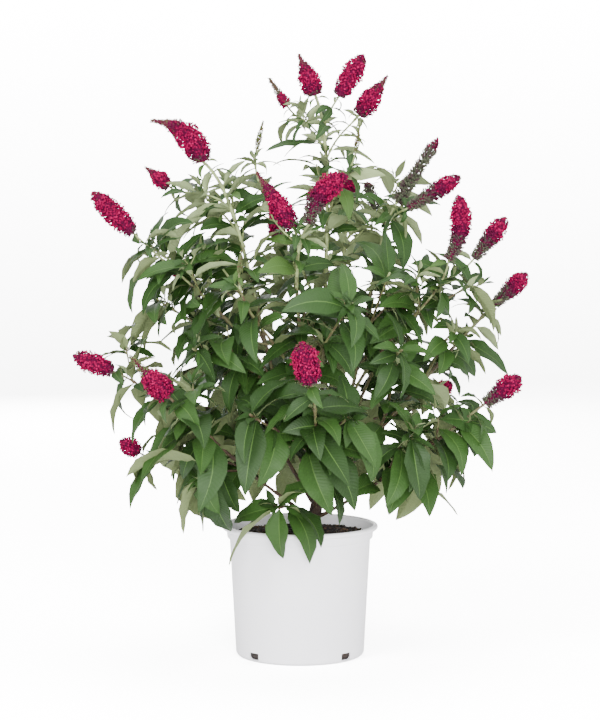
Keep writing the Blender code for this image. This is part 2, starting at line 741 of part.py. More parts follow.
def build_pot(finish):
    """The pot: tapered wall, stepped collar, rolled lip, and drainage slots round the foot."""
    collar = POT_HEIGHT - COLLAR_HEIGHT
    lip = POT_HEIGHT - LIP_HEIGHT
    inside = inner_wall()
    profile = [
        (0.0, 0.0),
        *[(FOOT_RADIUS + out, up) for out, up in FOOT_OUTLINE],
        (WALL_TOP_RADIUS, collar),
        (WALL_TOP_RADIUS + COLLAR_STEP[0], collar + COLLAR_STEP[1]),
        (WALL_TOP_RADIUS + SHOULDER_STEP, lip),
        *[(RIM_RADIUS + out, lip + up) for out, up in LIP_OUTLINE],
        (WALL_TOP_RADIUS + LIP_INNER_STEP[0], lip + LIP_INNER_STEP[1]),
        *inside[::-1],
        (0.0, FLOOR),
    ]
    pot = add_object("pot", turned_solid(profile, POT_SIDES), finish)
    for number in range(SLOT_COUNT):
        angle = math.tau * (number + 0.5) / SLOT_COUNT
        bm = bmesh.new()
        bmesh.ops.create_cube(bm, size=1.0)
        cutter = add_object(f"drain_cutter_{number + 1}", bm)
        reach = FOOT_RADIUS - SLOT_CUT_SET_BACK
        cutter.scale = (SLOT_CUT_DEPTH, SLOT_WIDTH, SLOT_HEIGHT)
        cutter.location = (math.cos(angle) * reach, math.sin(angle) * reach, SLOT_SILL + SLOT_HEIGHT / 2)
        cutter.rotation_euler = (0, 0, angle)
        hide_cutter(cutter)
        cut = pot.modifiers.new(f"drain_{number + 1}", "BOOLEAN")
        cut.operation = "DIFFERENCE"
        cut.object = cutter
    smooth(pot)
    return pot


def build_soil(finish):
    """The potting soil: it fills the pot with a hair's clearance, and is lumpy outside its level middle."""
    edge = WALL_TOP_RADIUS - WALL - GAP
    slope = [(mix((SOIL_PLATEAU, edge), out), mix((SOIL_TOP, SOIL_EDGE_HEIGHT), down)) for out, down in SOIL_SLOPE]
    profile = [
        (0.0, FLOOR + GAP),
        *inner_wall(GAP)[:2],
        (edge - GAP, POT_HEIGHT - COLLAR_HEIGHT - SOIL_UNDER_COLLAR),
        (edge - SOIL_EDGE_FALL, SOIL_EDGE_HEIGHT),
        *slope,
        (SOIL_PLATEAU, SOIL_TOP),
        (0.0, SOIL_TOP),
    ]
    bm = turned_solid(profile, POT_SIDES)
    for vertex in bm.verts:
        x, y, z = vertex.co
        radius = math.hypot(x, y)
        if z > POT_HEIGHT - COLLAR_HEIGHT and radius > SOIL_PLATEAU + SOIL_LUMP:
            first, second, third = SOIL_LUMP_WAVES
            vertex.co.z += SOIL_LUMP * (math.sin(first * x + 0.7) + math.cos(second * y + third * x))
    soil = add_object("soil", bm, finish)
    smooth(soil, FOLD_ANGLE)
    return soil


def trunk_tube(swell=0.0):
    """The trunk: a flat cut on the soil, a root flare, and a taper up to the fork."""
    path = np.array([trunk_axis(level) for level in TRUNK_LEVELS])
    path[slice(*TRUNK_KINK_RINGS)] += vector(TRUNK_KINK)
    path[-1] += UP * swell
    radii = []
    for level in TRUNK_LEVELS:
        flare = ROOT_FLARE * math.exp(-level * FLARE_FADE)
        radii.append(mix((TRUNK_RADIUS, TRUNK_FORK_RADIUS), level) + flare + swell)
    bm = sweep(path, radii, TRUNK_SIDES)
    foot = min(vertex.co.z for vertex in bm.verts)
    for vertex in bm.verts:
        if vertex.co.z < max(TRUNK_FOOT[2] + TRUNK_FOOT_RING / 2, foot + TRUNK_FOOT_RING):
            vertex.co.z = TRUNK_FOOT[2] - swell
    return bm


def build_boughs(finish):
    """The trunk, and each shoot's bare limb, its foot cut to sit against the trunk."""
    trunk = add_object("trunk", trunk_tube(), finish)
    smooth(trunk, FOLD_ANGLE)
    cutter = add_object("trunk_cutter", trunk_tube(GAP))
    hide_cutter(cutter)
    for shoot in SHOOTS:
        stem = stem_route(shoot)
        shares = np.linspace(0.0, shoot.bare, LIMB_POINTS)
        path = np.array([point_at(stem, s)[0] for s in shares])
        bough = add_object(
            f"bough_{shoot.name}",
            sweep(path, [stem_radius(shoot, s) for s in shares], BOUGH_SIDES),
            finish,
        )
        seat = bough.modifiers.new("seat", "BOOLEAN")
        seat.operation = "DIFFERENCE"
        seat.object = cutter
        smooth(bough, FOLD_ANGLE)


# ---------------------------------------------------------------- the masses of foliage


def keep_largest_body(obj):
    """Drops loose scraps and fills sealed hollows: only the body with the largest box stays."""
    bm = bmesh.new()
    bm.from_mesh(obj.data)
    left, bodies = set(bm.verts), []
    while left:
        body, edge = set(), [left.pop()]
        while edge:
            vertex = edge.pop()
            body.add(vertex)
            for link in vertex.link_edges:
                other = link.other_vert(vertex)
                if other in left:
                    left.discard(other)
                    edge.append(other)
        bodies.append(body)
    bodies.sort(key=len)
    for body in bodies[:-1]:
        bmesh.ops.delete(bm, geom=list(body), context="VERTS")
    bm.to_mesh(obj.data)
    bm.free()


def fused(obj, parts):
    """Joins obj and the objects of a collection by one Boolean union, and removes the collection."""
    union = obj.modifiers.new("fused", "BOOLEAN")
    union.operation = "UNION"
    union.operand_type = "COLLECTION"
    union.collection = parts
    union.solver = "MANIFOLD"
    bpy.context.view_layer.update()
    evaluated = obj.evaluated_get(bpy.context.evaluated_depsgraph_get())
    joined = bpy.data.meshes.new_from_object(evaluated)
    obj.modifiers.clear()
    obj.data = joined
    for part in list(parts.objects):
        bpy.data.objects.remove(part)
    bpy.data.collections.remove(parts)
    keep_largest_body(obj)


def build_mass(shoot, number, crown, finish):
    """One shoot's leafy part, fused into a single solid."""
    growth = grow(shoot, number, crown)
    total = lengths(growth.stem)[-1]
    parts = bpy.data.collections.new("parts")
    bpy.context.scene.collection.children.link(parts)
    shares = np.linspace(shoot.bare + GAP / total, 1.0, LIMB_POINTS)
    points = [point_at(growth.stem, s)[0] for s in shares]
    radii = [stem_radius(shoot, s) for s in shares]
    core = head_core(shoot.heads[0])
    stem = sweep(np.array(points + core), radii + [HEAD_CORE_RADIUS] * len(core), STEM_SIDES)
    mass = add_object(f"foliage_{shoot.name}", stem, finish)
    for head, branch in zip(shoot.heads[1:], growth.branches):
        count = 4 + round(lengths(branch)[-1] / BRANCH_STEP)
        points = [*stretch(branch, 0.0, 1.0, count), *head_core(head)]
        radii = np.linspace(stem_radius(shoot, head.forks_at) * BRANCH_SHARE, HEAD_CORE_RADIUS, len(points))
        add_object("branch", sweep(np.array(points), radii, STEM_SIDES), None, parts)
    for twig in growth.twigs:
        radii = np.linspace(*TWIG_TAPER, TWIG_RINGS) * TWIG_RADIUS
        add_object("twig", sweep(stretch(twig, 0.0, 1.0, TWIG_RINGS), radii, TWIG_SIDES), None, parts)
    for leaf in growth.leaves:
        add_object("leaf", leaf_solid(leaf), None, parts)
    chance = random.Random(GROWTH_SEED * 2 + number)
    for head in shoot.heads:
        if head.stage != "tuft":
            add_object("head", head_solid(head, chance), None, parts)
    fused(mass, parts)
    return growth


def clear_scene():
    """Removes every object of the open file."""
    for obj in list(bpy.data.objects):
        bpy.data.objects.remove(obj)


def main():
    """Builds the potted bush."""
    clear_scene()
    build_pot(material("white_plastic", (0.86, 0.86, 0.87), 0.28))
    build_soil(material("potting_soil", (0.045, 0.028, 0.020), 0.95))
    build_boughs(material("woody_stem", (0.165, 0.098, 0.058), 0.80))
    foliage = material("foliage", (0.085, 0.205, 0.045), 0.60)
    crown = Crown(SHOOTS)
    leaves = 0
    for number, shoot in enumerate(SHOOTS):
        leaves += len(build_mass(shoot, number, crown, foliage).leaves)
    print(f"{len(SHOOTS)} shoots, {leaves} leaves")


if __name__ == "__main__":
    main()
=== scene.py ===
"""Looks for a butterfly bush in a nursery pot, laid out as a Blender add-on and run as a script.

Everything is in metres, +Z up, with the front at -Y and the origin under the pot's middle. The bush
grows by one seeded rule: stems leave a short trunk, side branches leave the stems, and pairs of leaves
stand along them, each pair turned a quarter from the last. Each stem end carries a flower head.
"""

import math
import random
from functools import lru_cache
from typing import NamedTuple

import bpy
import numpy as np
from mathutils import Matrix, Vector


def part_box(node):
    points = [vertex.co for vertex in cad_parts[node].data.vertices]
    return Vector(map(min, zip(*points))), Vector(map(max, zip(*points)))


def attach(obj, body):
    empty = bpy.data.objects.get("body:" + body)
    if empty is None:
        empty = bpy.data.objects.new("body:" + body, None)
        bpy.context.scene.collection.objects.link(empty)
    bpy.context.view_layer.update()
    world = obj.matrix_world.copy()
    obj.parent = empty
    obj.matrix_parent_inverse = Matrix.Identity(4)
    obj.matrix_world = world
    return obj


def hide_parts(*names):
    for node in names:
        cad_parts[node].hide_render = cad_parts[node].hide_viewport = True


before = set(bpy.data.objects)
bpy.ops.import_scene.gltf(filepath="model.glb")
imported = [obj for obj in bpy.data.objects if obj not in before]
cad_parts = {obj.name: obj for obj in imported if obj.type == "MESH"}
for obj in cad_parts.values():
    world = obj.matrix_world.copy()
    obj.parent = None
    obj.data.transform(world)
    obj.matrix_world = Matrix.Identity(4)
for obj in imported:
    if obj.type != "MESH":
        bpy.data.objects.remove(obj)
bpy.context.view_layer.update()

bl_info = {
    "name": "Potted butterfly bush",
    "version": (1, 0, 0),
    "blender": (4, 5, 0),
    "location": "3D View > Sidebar > Bush",
    "description": "Dresses a potted butterfly bush with bark, leaves, blossom, soil and a moulded pot",
    "category": "Object",
}

# ---------------------------------------------------------------- driving dimensions, in metres

POT_HEIGHT = 0.236
RIM_RADIUS = 0.1395
FOOT_RADIUS = 0.115
WALL_TOP_RADIUS = 0.1265
WALL = 0.0022
FLOOR = 0.0025
COLLAR_HEIGHT = 0.024
LIP_HEIGHT = 0.0095

SLOT_COUNT = 4
SLOT_WIDTH = 0.022
SLOT_HEIGHT = 0.0125
SLOT_SILL = 0.0045

GAP = 0.0003
SOIL_EDGE_HEIGHT = 0.216
SOIL_TOP = 0.221
SOIL_PLATEAU = 0.058

TRUNK_FOOT = (0.020, 0.0, SOIL_TOP + GAP)
TRUNK_FORK = (0.042, 0.0, 0.346)
TRUNK_RADIUS = 0.0125
TRUNK_FORK_RADIUS = 0.0095
ROOT_FLARE = 0.0075
FLARE_FADE = 11

STEM_ROOT_RADIUS = 0.0042
STEM_TIP_RADIUS = 0.0016
STEM_TAPER = 0.8
LOW_STEM_SIZE = 0.62
TALL_STEM = 0.45
TWIG_RADIUS = 0.0013

LEAF_WIDTH_SHARE = 0.42
LEAF_WIDEST_AT = 0.42
LEAF_FOLD_SHARE = 0.10
PAIR_STEP = 0.0045
LEAF_TRIES = (1.0, 0.84, 0.74)

REACH_PAST_HALFWAY = 0.012
STEM_CLEARANCE = 0.0060
LIMB_CLEARANCE = 0.0030
LEAF_CLEARANCE = 0.0085
MASS_CLEARANCE = 0.0120
POT_CLEARANCE = 0.0040

GROWTH_SEED = 1904


class Head(NamedTuple):
    """A shoot's end: where it starts, its furthest point, its width, its stage, and where it forks.

    bow is how far its middle rises off a straight line, as a share of its length.
    """

    base: tuple
    tip: tuple
    width: float
    stage: str
    forks_at: float = 1.0
    bow: float = 0.0


class Shoot(NamedTuple):
    """One limb from the trunk. Its first head sits on the stem's own end, the others on side branches."""

    name: str
    level: float  # how far up the trunk it leaves, 0 at the soil and 1 at the fork
    rise: float  # degrees above level that it sets out at
    bare: float  # share of its length that carries no leaves
    heads: tuple


SHOOTS = (
    Shoot("leader", 1.00, 86, 0.17, (
        Head((0.027, 0.020, 1.000), (-0.002, 0.020, 1.072), 0.040, "fresh"),
        Head((0.069, -0.020, 0.997), (0.112, -0.020, 1.069), 0.038, "full", 0.90),
        Head((0.106, 0.060, 0.966), (0.157, 0.060, 1.036), 0.038, "fresh", 0.82),
        Head((-0.023, 0.080, 0.982), (-0.056, 0.080, 1.032), 0.024, "fading", 0.84),
        Head((0.098, -0.040, 0.900), (0.104, -0.045, 0.945), 0.009, "bud", 0.66),
        Head((-0.078, 0.060, 0.905), (-0.066, 0.062, 0.955), 0.010, "bud", 0.36),
    )),
    Shoot("front_spire", 0.80, 66, 0.26, (
        Head((0.016, -0.140, 0.775), (0.082, -0.145, 0.856), 0.042, "ripe", 1.0, 0.16),
        Head((-0.012, -0.130, 0.768), (-0.074, -0.135, 0.863), 0.036, "fresh", 0.90),
        Head((-0.104, -0.165, 0.690), (-0.100, -0.172, 0.730), 0.008, "bud", 0.30),
        Head((0.085, -0.185, 0.640), (0.092, -0.200, 0.655), 0.0, "tuft", 0.36),
    )),
    Shoot("front_low", 0.34, 48, 0.30, (
        Head((0.018, -0.295, 0.514), (0.002, -0.312, 0.584), 0.046, "full"),
        Head((-0.085, -0.225, 0.455), (-0.095, -0.240, 0.465), 0.0, "tuft", 0.42),
        Head((0.085, -0.215, 0.450), (0.097, -0.235, 0.460), 0.0, "tuft", 0.48),
    )),
    Shoot("left_low", 0.22, 28, 0.34, (
        Head((-0.226, -0.215, 0.488), (-0.286, -0.250, 0.556), 0.042, "opening"),
        Head((-0.325, -0.120, 0.520), (-0.392, -0.130, 0.548), 0.036, "full", 0.66),
        Head((-0.288, 0.010, 0.362), (-0.323, 0.010, 0.384), 0.033, "full", 0.46),
        Head((-0.168, -0.175, 0.345), (-0.190, -0.195, 0.345), 0.0, "tuft", 0.42),
    )),
    Shoot("left_upper", 0.62, 60, 0.28, (
        Head((-0.171, -0.030, 0.882), (-0.262, -0.035, 0.953), 0.046, "fresh", 1.0, 0.17),
        Head((-0.236, 0.060, 0.838), (-0.279, 0.065, 0.873), 0.030, "fresh", 0.84),
        Head((-0.291, -0.075, 0.758), (-0.362, -0.080, 0.829), 0.039, "full", 0.32),
        Head((-0.185, -0.145, 0.560), (-0.205, -0.160, 0.570), 0.0, "tuft", 0.29),
        Head((-0.255, -0.020, 0.640), (-0.275, -0.025, 0.655), 0.0, "tuft", 0.30),
        Head((-0.118, 0.020, 0.845), (-0.112, 0.022, 0.870), 0.0, "tuft", 0.60),
        Head((-0.170, -0.070, 0.735), (-0.190, -0.078, 0.755), 0.0, "tuft", 0.44),
        Head((-0.178, 0.026, 0.829), (-0.194, 0.028, 0.850), 0.0, "tuft", 0.76),
        Head((-0.264, -0.028, 0.736), (-0.276, -0.028, 0.750), 0.0, "tuft", 0.50),
    )),
    Shoot("right_upper", 0.62, 62, 0.26, (
        Head((0.174, 0.050, 0.810), (0.248, 0.055, 0.924), 0.025, "spent"),
        Head((0.192, 0.000, 0.800), (0.284, -0.005, 0.856), 0.032, "ripe", 0.92),
        Head((0.258, -0.100, 0.712), (0.272, -0.105, 0.824), 0.037, "ripe", 0.32, -0.12),
        Head((0.309, -0.010, 0.711), (0.366, -0.005, 0.783), 0.034, "ripe", 0.46),
        Head((0.155, -0.120, 0.690), (0.160, -0.135, 0.705), 0.0, "tuft", 0.40),
        Head((0.302, -0.050, 0.668), (0.318, -0.052, 0.680), 0.0, "tuft", 0.42),
    )),
    Shoot("right_mid", 0.42, 50, 0.28, (
        Head((0.347, 0.010, 0.628), (0.405, 0.010, 0.684), 0.034, "ripe"),
        Head((0.175, -0.170, 0.560), (0.190, -0.190, 0.570), 0.0, "tuft", 0.34),
        Head((0.272, -0.060, 0.585), (0.290, -0.068, 0.598), 0.0, "tuft", 0.58),
    )),
    Shoot("right_low", 0.20, 26, 0.32, (
        Head((0.321, -0.125, 0.464), (0.382, -0.130, 0.511), 0.038, "ripe"),
        Head((0.195, -0.175, 0.415), (0.220, -0.195, 0.425), 0.0, "tuft", 0.36),
        Head((0.270, 0.010, 0.400), (0.295, 0.015, 0.405), 0.0, "tuft", 0.50),
    )),
    Shoot("rim_front", 0.10, 40, 0.46, (
        Head((-0.038, -0.172, 0.288), (-0.048, -0.200, 0.288), 0.0, "tuft"),
    )),
    Shoot("back_right", 0.56, 52, 0.28, (
        Head((0.182, 0.220, 0.602), (0.205, 0.255, 0.672), 0.034, "fresh"),
        Head((0.225, 0.185, 0.430), (0.285, 0.220, 0.470), 0.034, "ripe", 0.32),
    )),
    Shoot("back_upper", 0.78, 64, 0.26, (
        Head((0.090, 0.165, 0.815), (0.096, 0.180, 0.882), 0.032, "fresh"),
        Head((0.140, 0.215, 0.795), (0.125, 0.235, 0.845), 0.024, "spent", 0.84),
        Head((-0.040, 0.250, 0.740), (-0.050, 0.290, 0.810), 0.036, "fresh", 0.36),
        Head((-0.110, 0.180, 0.690), (-0.125, 0.195, 0.735), 0.009, "bud", 0.30),
    )),
    Shoot("back_left", 0.40, 46, 0.28, (
        Head((-0.190, 0.205, 0.630), (-0.235, 0.240, 0.694), 0.036, "ripe"),
        Head((-0.240, 0.165, 0.455), (-0.300, 0.195, 0.500), 0.036, "fresh", 0.32),
    )),
    Shoot("back_low", 0.28, 42, 0.32, (
        Head((-0.010, 0.300, 0.500), (-0.015, 0.345, 0.565), 0.038, "fresh"),
        Head((0.085, 0.230, 0.400), (0.095, 0.250, 0.405), 0.0, "tuft", 0.44),
        Head((-0.085, 0.230, 0.410), (-0.095, 0.250, 0.415), 0.0, "tuft", 0.40),
    )),
)

# The shoots whose leaves may hang lower than the pot's rim.
HANG_OVER_RIM = ("rim_front",)

# A head's radius as a share of its half width, from its lowest florets to its last bud.
HEAD_OUTLINES = {
    "fresh": ((0.00, 0.60), (0.16, 0.96), (0.42, 1.00), (0.66, 0.62), (0.86, 0.24)),
    "full": ((0.00, 0.55), (0.18, 0.88), (0.46, 1.00), (0.74, 0.90), (0.93, 0.50)),
    "opening": ((0.00, 0.80), (0.20, 1.00), (0.45, 0.82), (0.64, 0.34), (0.90, 0.20)),
    "ripe": ((0.00, 0.50), (0.28, 0.70), (0.56, 0.98), (0.80, 0.94), (0.95, 0.50)),
    "fading": ((0.00, 0.70), (0.14, 1.00), (0.36, 0.70), (0.64, 0.40), (0.90, 0.24)),
    "spent": ((0.00, 0.90), (0.30, 1.00), (0.62, 0.78), (0.84, 0.86), (0.96, 0.50)),
    "bud": ((0.00, 0.70), (0.30, 1.00), (0.70, 0.62)),
}

# Old leaves low on the bush are long and hang; young ones high up are short and stand out.
OLD_BELOW = 0.34
YOUNG_ABOVE = 0.86
LEAF_LENGTH = (0.154, 0.114)
LEAF_ANGLE = (76, 56)
LEAF_BEND = (62, 36)
NODE_SPACING = (0.078, 0.048)
END_LEAF_SHARE = 0.74
LAST_PAIR_SHARE = 0.60
LAST_PAIR_FROM = 0.90
LEAF_ROLL = 0.80
ASIDE = (0.0, 0.4, -0.4, 0.8, -0.8)
SKY_PULL = 0.90
OUTWARD_PULL = 0.62
OUTWARD_RISE = 0.06
TWIG_CHANCE = 0.15
BRANCH_BARE = 0.20
STEM_BARE_PAST_BOUGH = 0.03
LEAVES_END_AT_HEAD = 0.95
LEAVES_END_AT_TUFT = 0.98
TWIG_LENGTH = (0.045, 0.085)
TWIG_LEAF_SHARE = 0.74
TWIG_REACH = 0.80
TWIG_LIFT = 0.25
TWIG_POINTS = 8
TWIG_PAIRS_AT = (0.62, 0.97)
TWIG_TURN = 0.2
TWIG_SET_OUT = 0.3
TWIG_TURN_UP = 0.2
TUFT_PAIRS = 3
TUFT_STEP = 0.05
TUFT_LEAF_SHARE = 0.72
TUFT_GROWTH = 0.13
TUFT_PHASE = 0.4

# By how much a pair of leaves may differ from the rule: turns in radians, angles in degrees, the rest shares.
PAIR_TURN = (-0.25, 0.25)
PAIR_SIZE = (0.86, 1.12)
PAIR_ANGLE = (-10, 10)
PAIR_BEND = (0.6, 1.3)
NODE_TURN = (-0.2, 0.2)
NODE_GAP = (0.88, 1.12)

# Where a leaf is tested for room: shares of its midrib, and shares with the margin's width there.
MIDRIB_TEST = (0.22, 0.36, 0.50, 0.64, 0.78, 0.90, 1.00)
MARGIN_TEST = ((0.20, 0.50), (LEAF_WIDEST_AT, 1.00), (0.62, 0.72), (0.80, 0.40))


# ---------------------------------------------------------------- vectors and curves


def vector(*parts):
    """A float array from three numbers or one triple."""
    return np.array(parts[0] if len(parts) == 1 else parts, float)


def unit(v):
    """v scaled to length 1."""
    return v / np.linalg.norm(v)


def across(v, axis):
    """The part of v that is square to the unit vector axis, at length 1."""
    return unit(v - axis * (v @ axis))


def mix(pair, share):
    """The value share of the way from the first of pair to the second."""
    return pair[0] + (pair[1] - pair[0]) * share


def turned(v, axis, angle):
    """v turned about the unit vector axis by angle, in radians."""
    c, s = math.cos(angle), math.sin(angle)
    return v * c + np.cross(axis, v) * s + axis * (axis @ v) * (1 - c)


def bezier(p0, p1, p2, p3, count):
    """count points, even in parameter, on a cubic curve."""
    t = np.linspace(0, 1, count)[:, None]
    return (1 - t) ** 3 * p0 + 3 * (1 - t) ** 2 * t * p1 + 3 * (1 - t) * t**2 * p2 + t**3 * p3


def lengths(path):
    """The distance along path to each of its points."""
    steps = np.linalg.norm(np.diff(path, axis=0), axis=1)
    return np.concatenate([[0.0], np.cumsum(steps)])


def point_at(path, share):
    """The point and the direction at a share of path's length."""
    run = lengths(path)
    at = share * run[-1]
    i = min(int(np.searchsorted(run, at, side="right")) - 1, len(path) - 2)
    direction = unit(path[i + 1] - path[i])
    return path[i] + direction * (at - run[i]), direction


def facing(stem):
    """The direction square to a stem from which the turns of its leaves are counted."""
    return across(FACING, stem)


def stretch(path, start, end, count):
    """count points on path, from one share of its length to another."""
    return np.array([point_at(path, s)[0] for s in np.linspace(start, end, count)])


# ---------------------------------------------------------------- the stems' routes

UP = vector(0, 0, 1)
FACING = vector(0.31, 0.17, 0.94)
STEM_POINTS = 40
HIGHEST_FORK = 0.9
# A curve's handles as shares of its reach, and the far handle as a share of the near one.
STEM_CURVE_REACH = 0.36
STEM_END_REACH = 0.5
BRANCH_CURVE_REACH = 0.42
BRANCH_END_REACH = 0.6


def trunk_axis(level):
    """The point on the trunk's centre line at a level from 0 to 1."""
    return mix((vector(TRUNK_FOOT), vector(TRUNK_FORK)), level)


def stem_route(shoot):
    """A stem's centre line, from inside the trunk to the foot of its first head."""
    foot = trunk_axis(shoot.level * HIGHEST_FORK)
    end, tip = vector(shoot.heads[0].base), vector(shoot.heads[0].tip)
    line = end - foot
    reach = np.linalg.norm(line)
    outward = unit(vector(line[0], line[1], 0))
    rise = math.radians(shoot.rise)
    start = outward * math.cos(rise) + UP * math.sin(rise)
    first = foot + start * reach * STEM_CURVE_REACH
    last = end - unit(tip - end) * reach * STEM_CURVE_REACH * STEM_END_REACH
    return bezier(foot, first, last, end, STEM_POINTS)


def branch_route(stem, head):
    """A side branch's centre line, from the stem to the foot of its own head."""
    foot, direction = point_at(stem, head.forks_at)
    end, tip = vector(head.base), vector(head.tip)
    reach = np.linalg.norm(end - foot)
    start = unit(direction + unit(end - foot))
    first = foot + start * reach * BRANCH_CURVE_REACH
    last = end - unit(tip - end) * reach * BRANCH_CURVE_REACH * BRANCH_END_REACH
    return bezier(foot, first, last, end, STEM_POINTS // 2)


def stem_radius(shoot, share):
    """A stem's radius at a share of its length: thicker on a taller shoot."""
    size = mix((LOW_STEM_SIZE, 1.0), min(1.0, (shoot.heads[0].base[2] - SOIL_TOP) / TALL_STEM))
    return mix((STEM_ROOT_RADIUS, STEM_TIP_RADIUS), share**STEM_TAPER) * size


# ---------------------------------------------------------------- each mass's own space

# How many points are tested along a leafy stem, a branch, the trunk and a bough, and where on a leafy
# stem its radius is taken.
STEM_SAMPLES = 30
BRANCH_SAMPLES = 16
TRUNK_SAMPLES = 12
BOUGH_SAMPLES = 24
STEM_MEASURED_AT = 0.6


def head_point(head, at):
    """A point on a head's middle line, which bows up by the head's bow."""
    base, tip = vector(head.base), vector(head.tip)
    rise = across(UP, unit(tip - base)) * head.bow * np.linalg.norm(tip - base)
    return base + (tip - base) * at + rise * 4 * at * (1 - at)


def head_samples(head):
    """Points along a head's middle, each with the head's radius there."""
    outline = HEAD_OUTLINES.get(head.stage, ())
    return [(head_point(head, at), head.width / 2 * share) for at, share in outline]


def shoot_samples(shoot):
    """Points along a shoot's leafy stem, its branches and its heads, each with the radius there."""
    stem = stem_route(shoot)
    thick = stem_radius(shoot, STEM_MEASURED_AT)
    rows = [(p, thick) for p in stretch(stem, shoot.bare, 1.0, STEM_SAMPLES)]
    for head in shoot.heads:
        rows += head_samples(head)
        if head.forks_at < 1:
            rows += [(p, TWIG_RADIUS) for p in stretch(branch_route(stem, head), 0.0, 1.0, BRANCH_SAMPLES)]
    return rows


def limb_samples(shoots):
    """Points along the trunk and the boughs, each with the radius there."""
    rows = [(trunk_axis(level), TRUNK_RADIUS + ROOT_FLARE) for level in np.linspace(0, 1, TRUNK_SAMPLES)]
    for shoot in shoots:
        stem = stem_route(shoot)
        shares = np.linspace(0, shoot.bare, BOUGH_SAMPLES)
        rows += [(point_at(stem, s)[0], stem_radius(shoot, s)) for s in shares]
    return rows


def nearest(points, balls):
    """Each point's distance to the nearest of the balls, which are (centres, radii)."""
    centres, radii = balls
    gaps = np.linalg.norm(points[:, None, :] - centres[None, :, :], axis=2) - radii[None, :]
    return gaps.min(axis=1)


def balls_of(rows):
    """(point, radius) rows as one array of centres and one of radii."""
    return np.array([p for p, _ in rows]), np.array([r for _, r in rows])


class Crown:
    """What stands where: the bare limbs, each mass's stems and heads, and the leaves placed so far."""

    def __init__(self, shoots):
        rows = [shoot_samples(shoot) for shoot in shoots]
        self.own = [balls_of(row) for row in rows]
        self.others = [balls_of(sum(rows[:n] + rows[n + 1 :], [])) for n in range(len(rows))]
        self.limbs = balls_of(limb_samples(shoots))
        self.blades = [np.full((1, 3), np.inf) for _ in shoots]
        self.lowest = [0.0 if shoot.name in HANG_OVER_RIM else POT_HEIGHT for shoot in shoots]

    def holds(self, points, mass, reach=REACH_PAST_HALFWAY):
        """True if the points keep to the mass's own space, clear of the limbs, stems, heads and pot.

        The space is all that lies nearer to its own stems than to others, and a little way past that.
        """
        to_others = nearest(points, self.others[mass])
        if (nearest(points, self.own[mass]) > to_others + 2 * reach).any():
            return False
        if to_others.min() < STEM_CLEARANCE or nearest(points, self.limbs).min() < LIMB_CLEARANCE:
            return False
        if points[:, 2].min() < self.lowest[mass]:
            return False
        low = points[points[:, 2] < POT_HEIGHT + POT_CLEARANCE]
        return bool((np.hypot(low[:, 0], low[:, 1]) > RIM_RADIUS + POT_CLEARANCE).all())

    def is_open(self, points, mass):
        """True if no leaf lies across the points, with more room left to the leaves of other masses."""
        for owner, blades in enumerate(self.blades):
            room = LEAF_CLEARANCE if owner == mass else MASS_CLEARANCE
            if np.linalg.norm(points[:, None, :] - blades[None, :, :], axis=2).min() < room:
                return False
        return True

    def fill(self, points, mass):
        """Takes up the points with a leaf of the mass."""
        self.blades[mass] = np.vstack([self.blades[mass], points])


# ---------------------------------------------------------------- the rule that leaves grow by


class Leaf(NamedTuple):
    """A leaf's root on its stem, the stem's direction there, and the arc that its midrib bends along."""

    root: np.ndarray
    stem: np.ndarray
    along: np.ndarray
    belly: np.ndarray
    length: float
    bend: float


def midrib(leaf, share):
    """The midrib is an arc of a circle that turns from along towards belly by bend."""
    a = leaf.bend * share
    return leaf.root + leaf.length / leaf.bend * (math.sin(a) * leaf.along + (1 - math.cos(a)) * leaf.belly)


def leaf_face(leaf, share):
    """The direction that the leaf's upper side faces at a share of its length."""
    a = leaf.bend * share
    return math.sin(a) * leaf.along - math.cos(a) * leaf.belly


def leaf_outline(leaf):
    """Points on the midrib and along both margins, for testing where the leaf lies."""
    side = np.cross(leaf.along, leaf.belly)
    half = leaf.length * LEAF_WIDTH_SHARE / 2
    points = [midrib(leaf, s) for s in MIDRIB_TEST]
    for share, width in MARGIN_TEST:
        for sign in (-1, 1):
            rise = leaf_face(leaf, share) * LEAF_FOLD_SHARE * 2 * half * width
            points.append(midrib(leaf, share) + side * sign * half * width + rise)
    return np.array(points)


def youth(place):
    """0 for a place among the oldest leaves, low on the bush, and 1 among the youngest, at its top."""
    return min(1.0, max(0.0, (place[2] - OLD_BELOW) / (YOUNG_ABOVE - OLD_BELOW)))


def leaf_on(root, stem, outward, length, angle, bend, roll):
    """A leaf that leaves its stem at an angle, its upper side to the sky and out of the crown."""
    along = stem * math.cos(angle) + outward * math.sin(angle)
    crown_out = unit(vector(root[0], root[1], OUTWARD_RISE))
    sky = UP * SKY_PULL + crown_out * OUTWARD_PULL + np.cross(along, UP) * roll
    return Leaf(root, stem, along, -across(sky, along), length, bend)


def fitted(tries, crown, mass):
    """The first of the tries that can be kept in the mass's space, made shorter if it has to be, or None."""
    for share in LEAF_TRIES:
        for leaf in tries:
            tried = leaf._replace(length=leaf.length * share)
            outline = leaf_outline(tried)
            if crown.holds(outline, mass) and crown.is_open(outline, mass):
                crown.fill(outline, mass)
                return tried
    return None


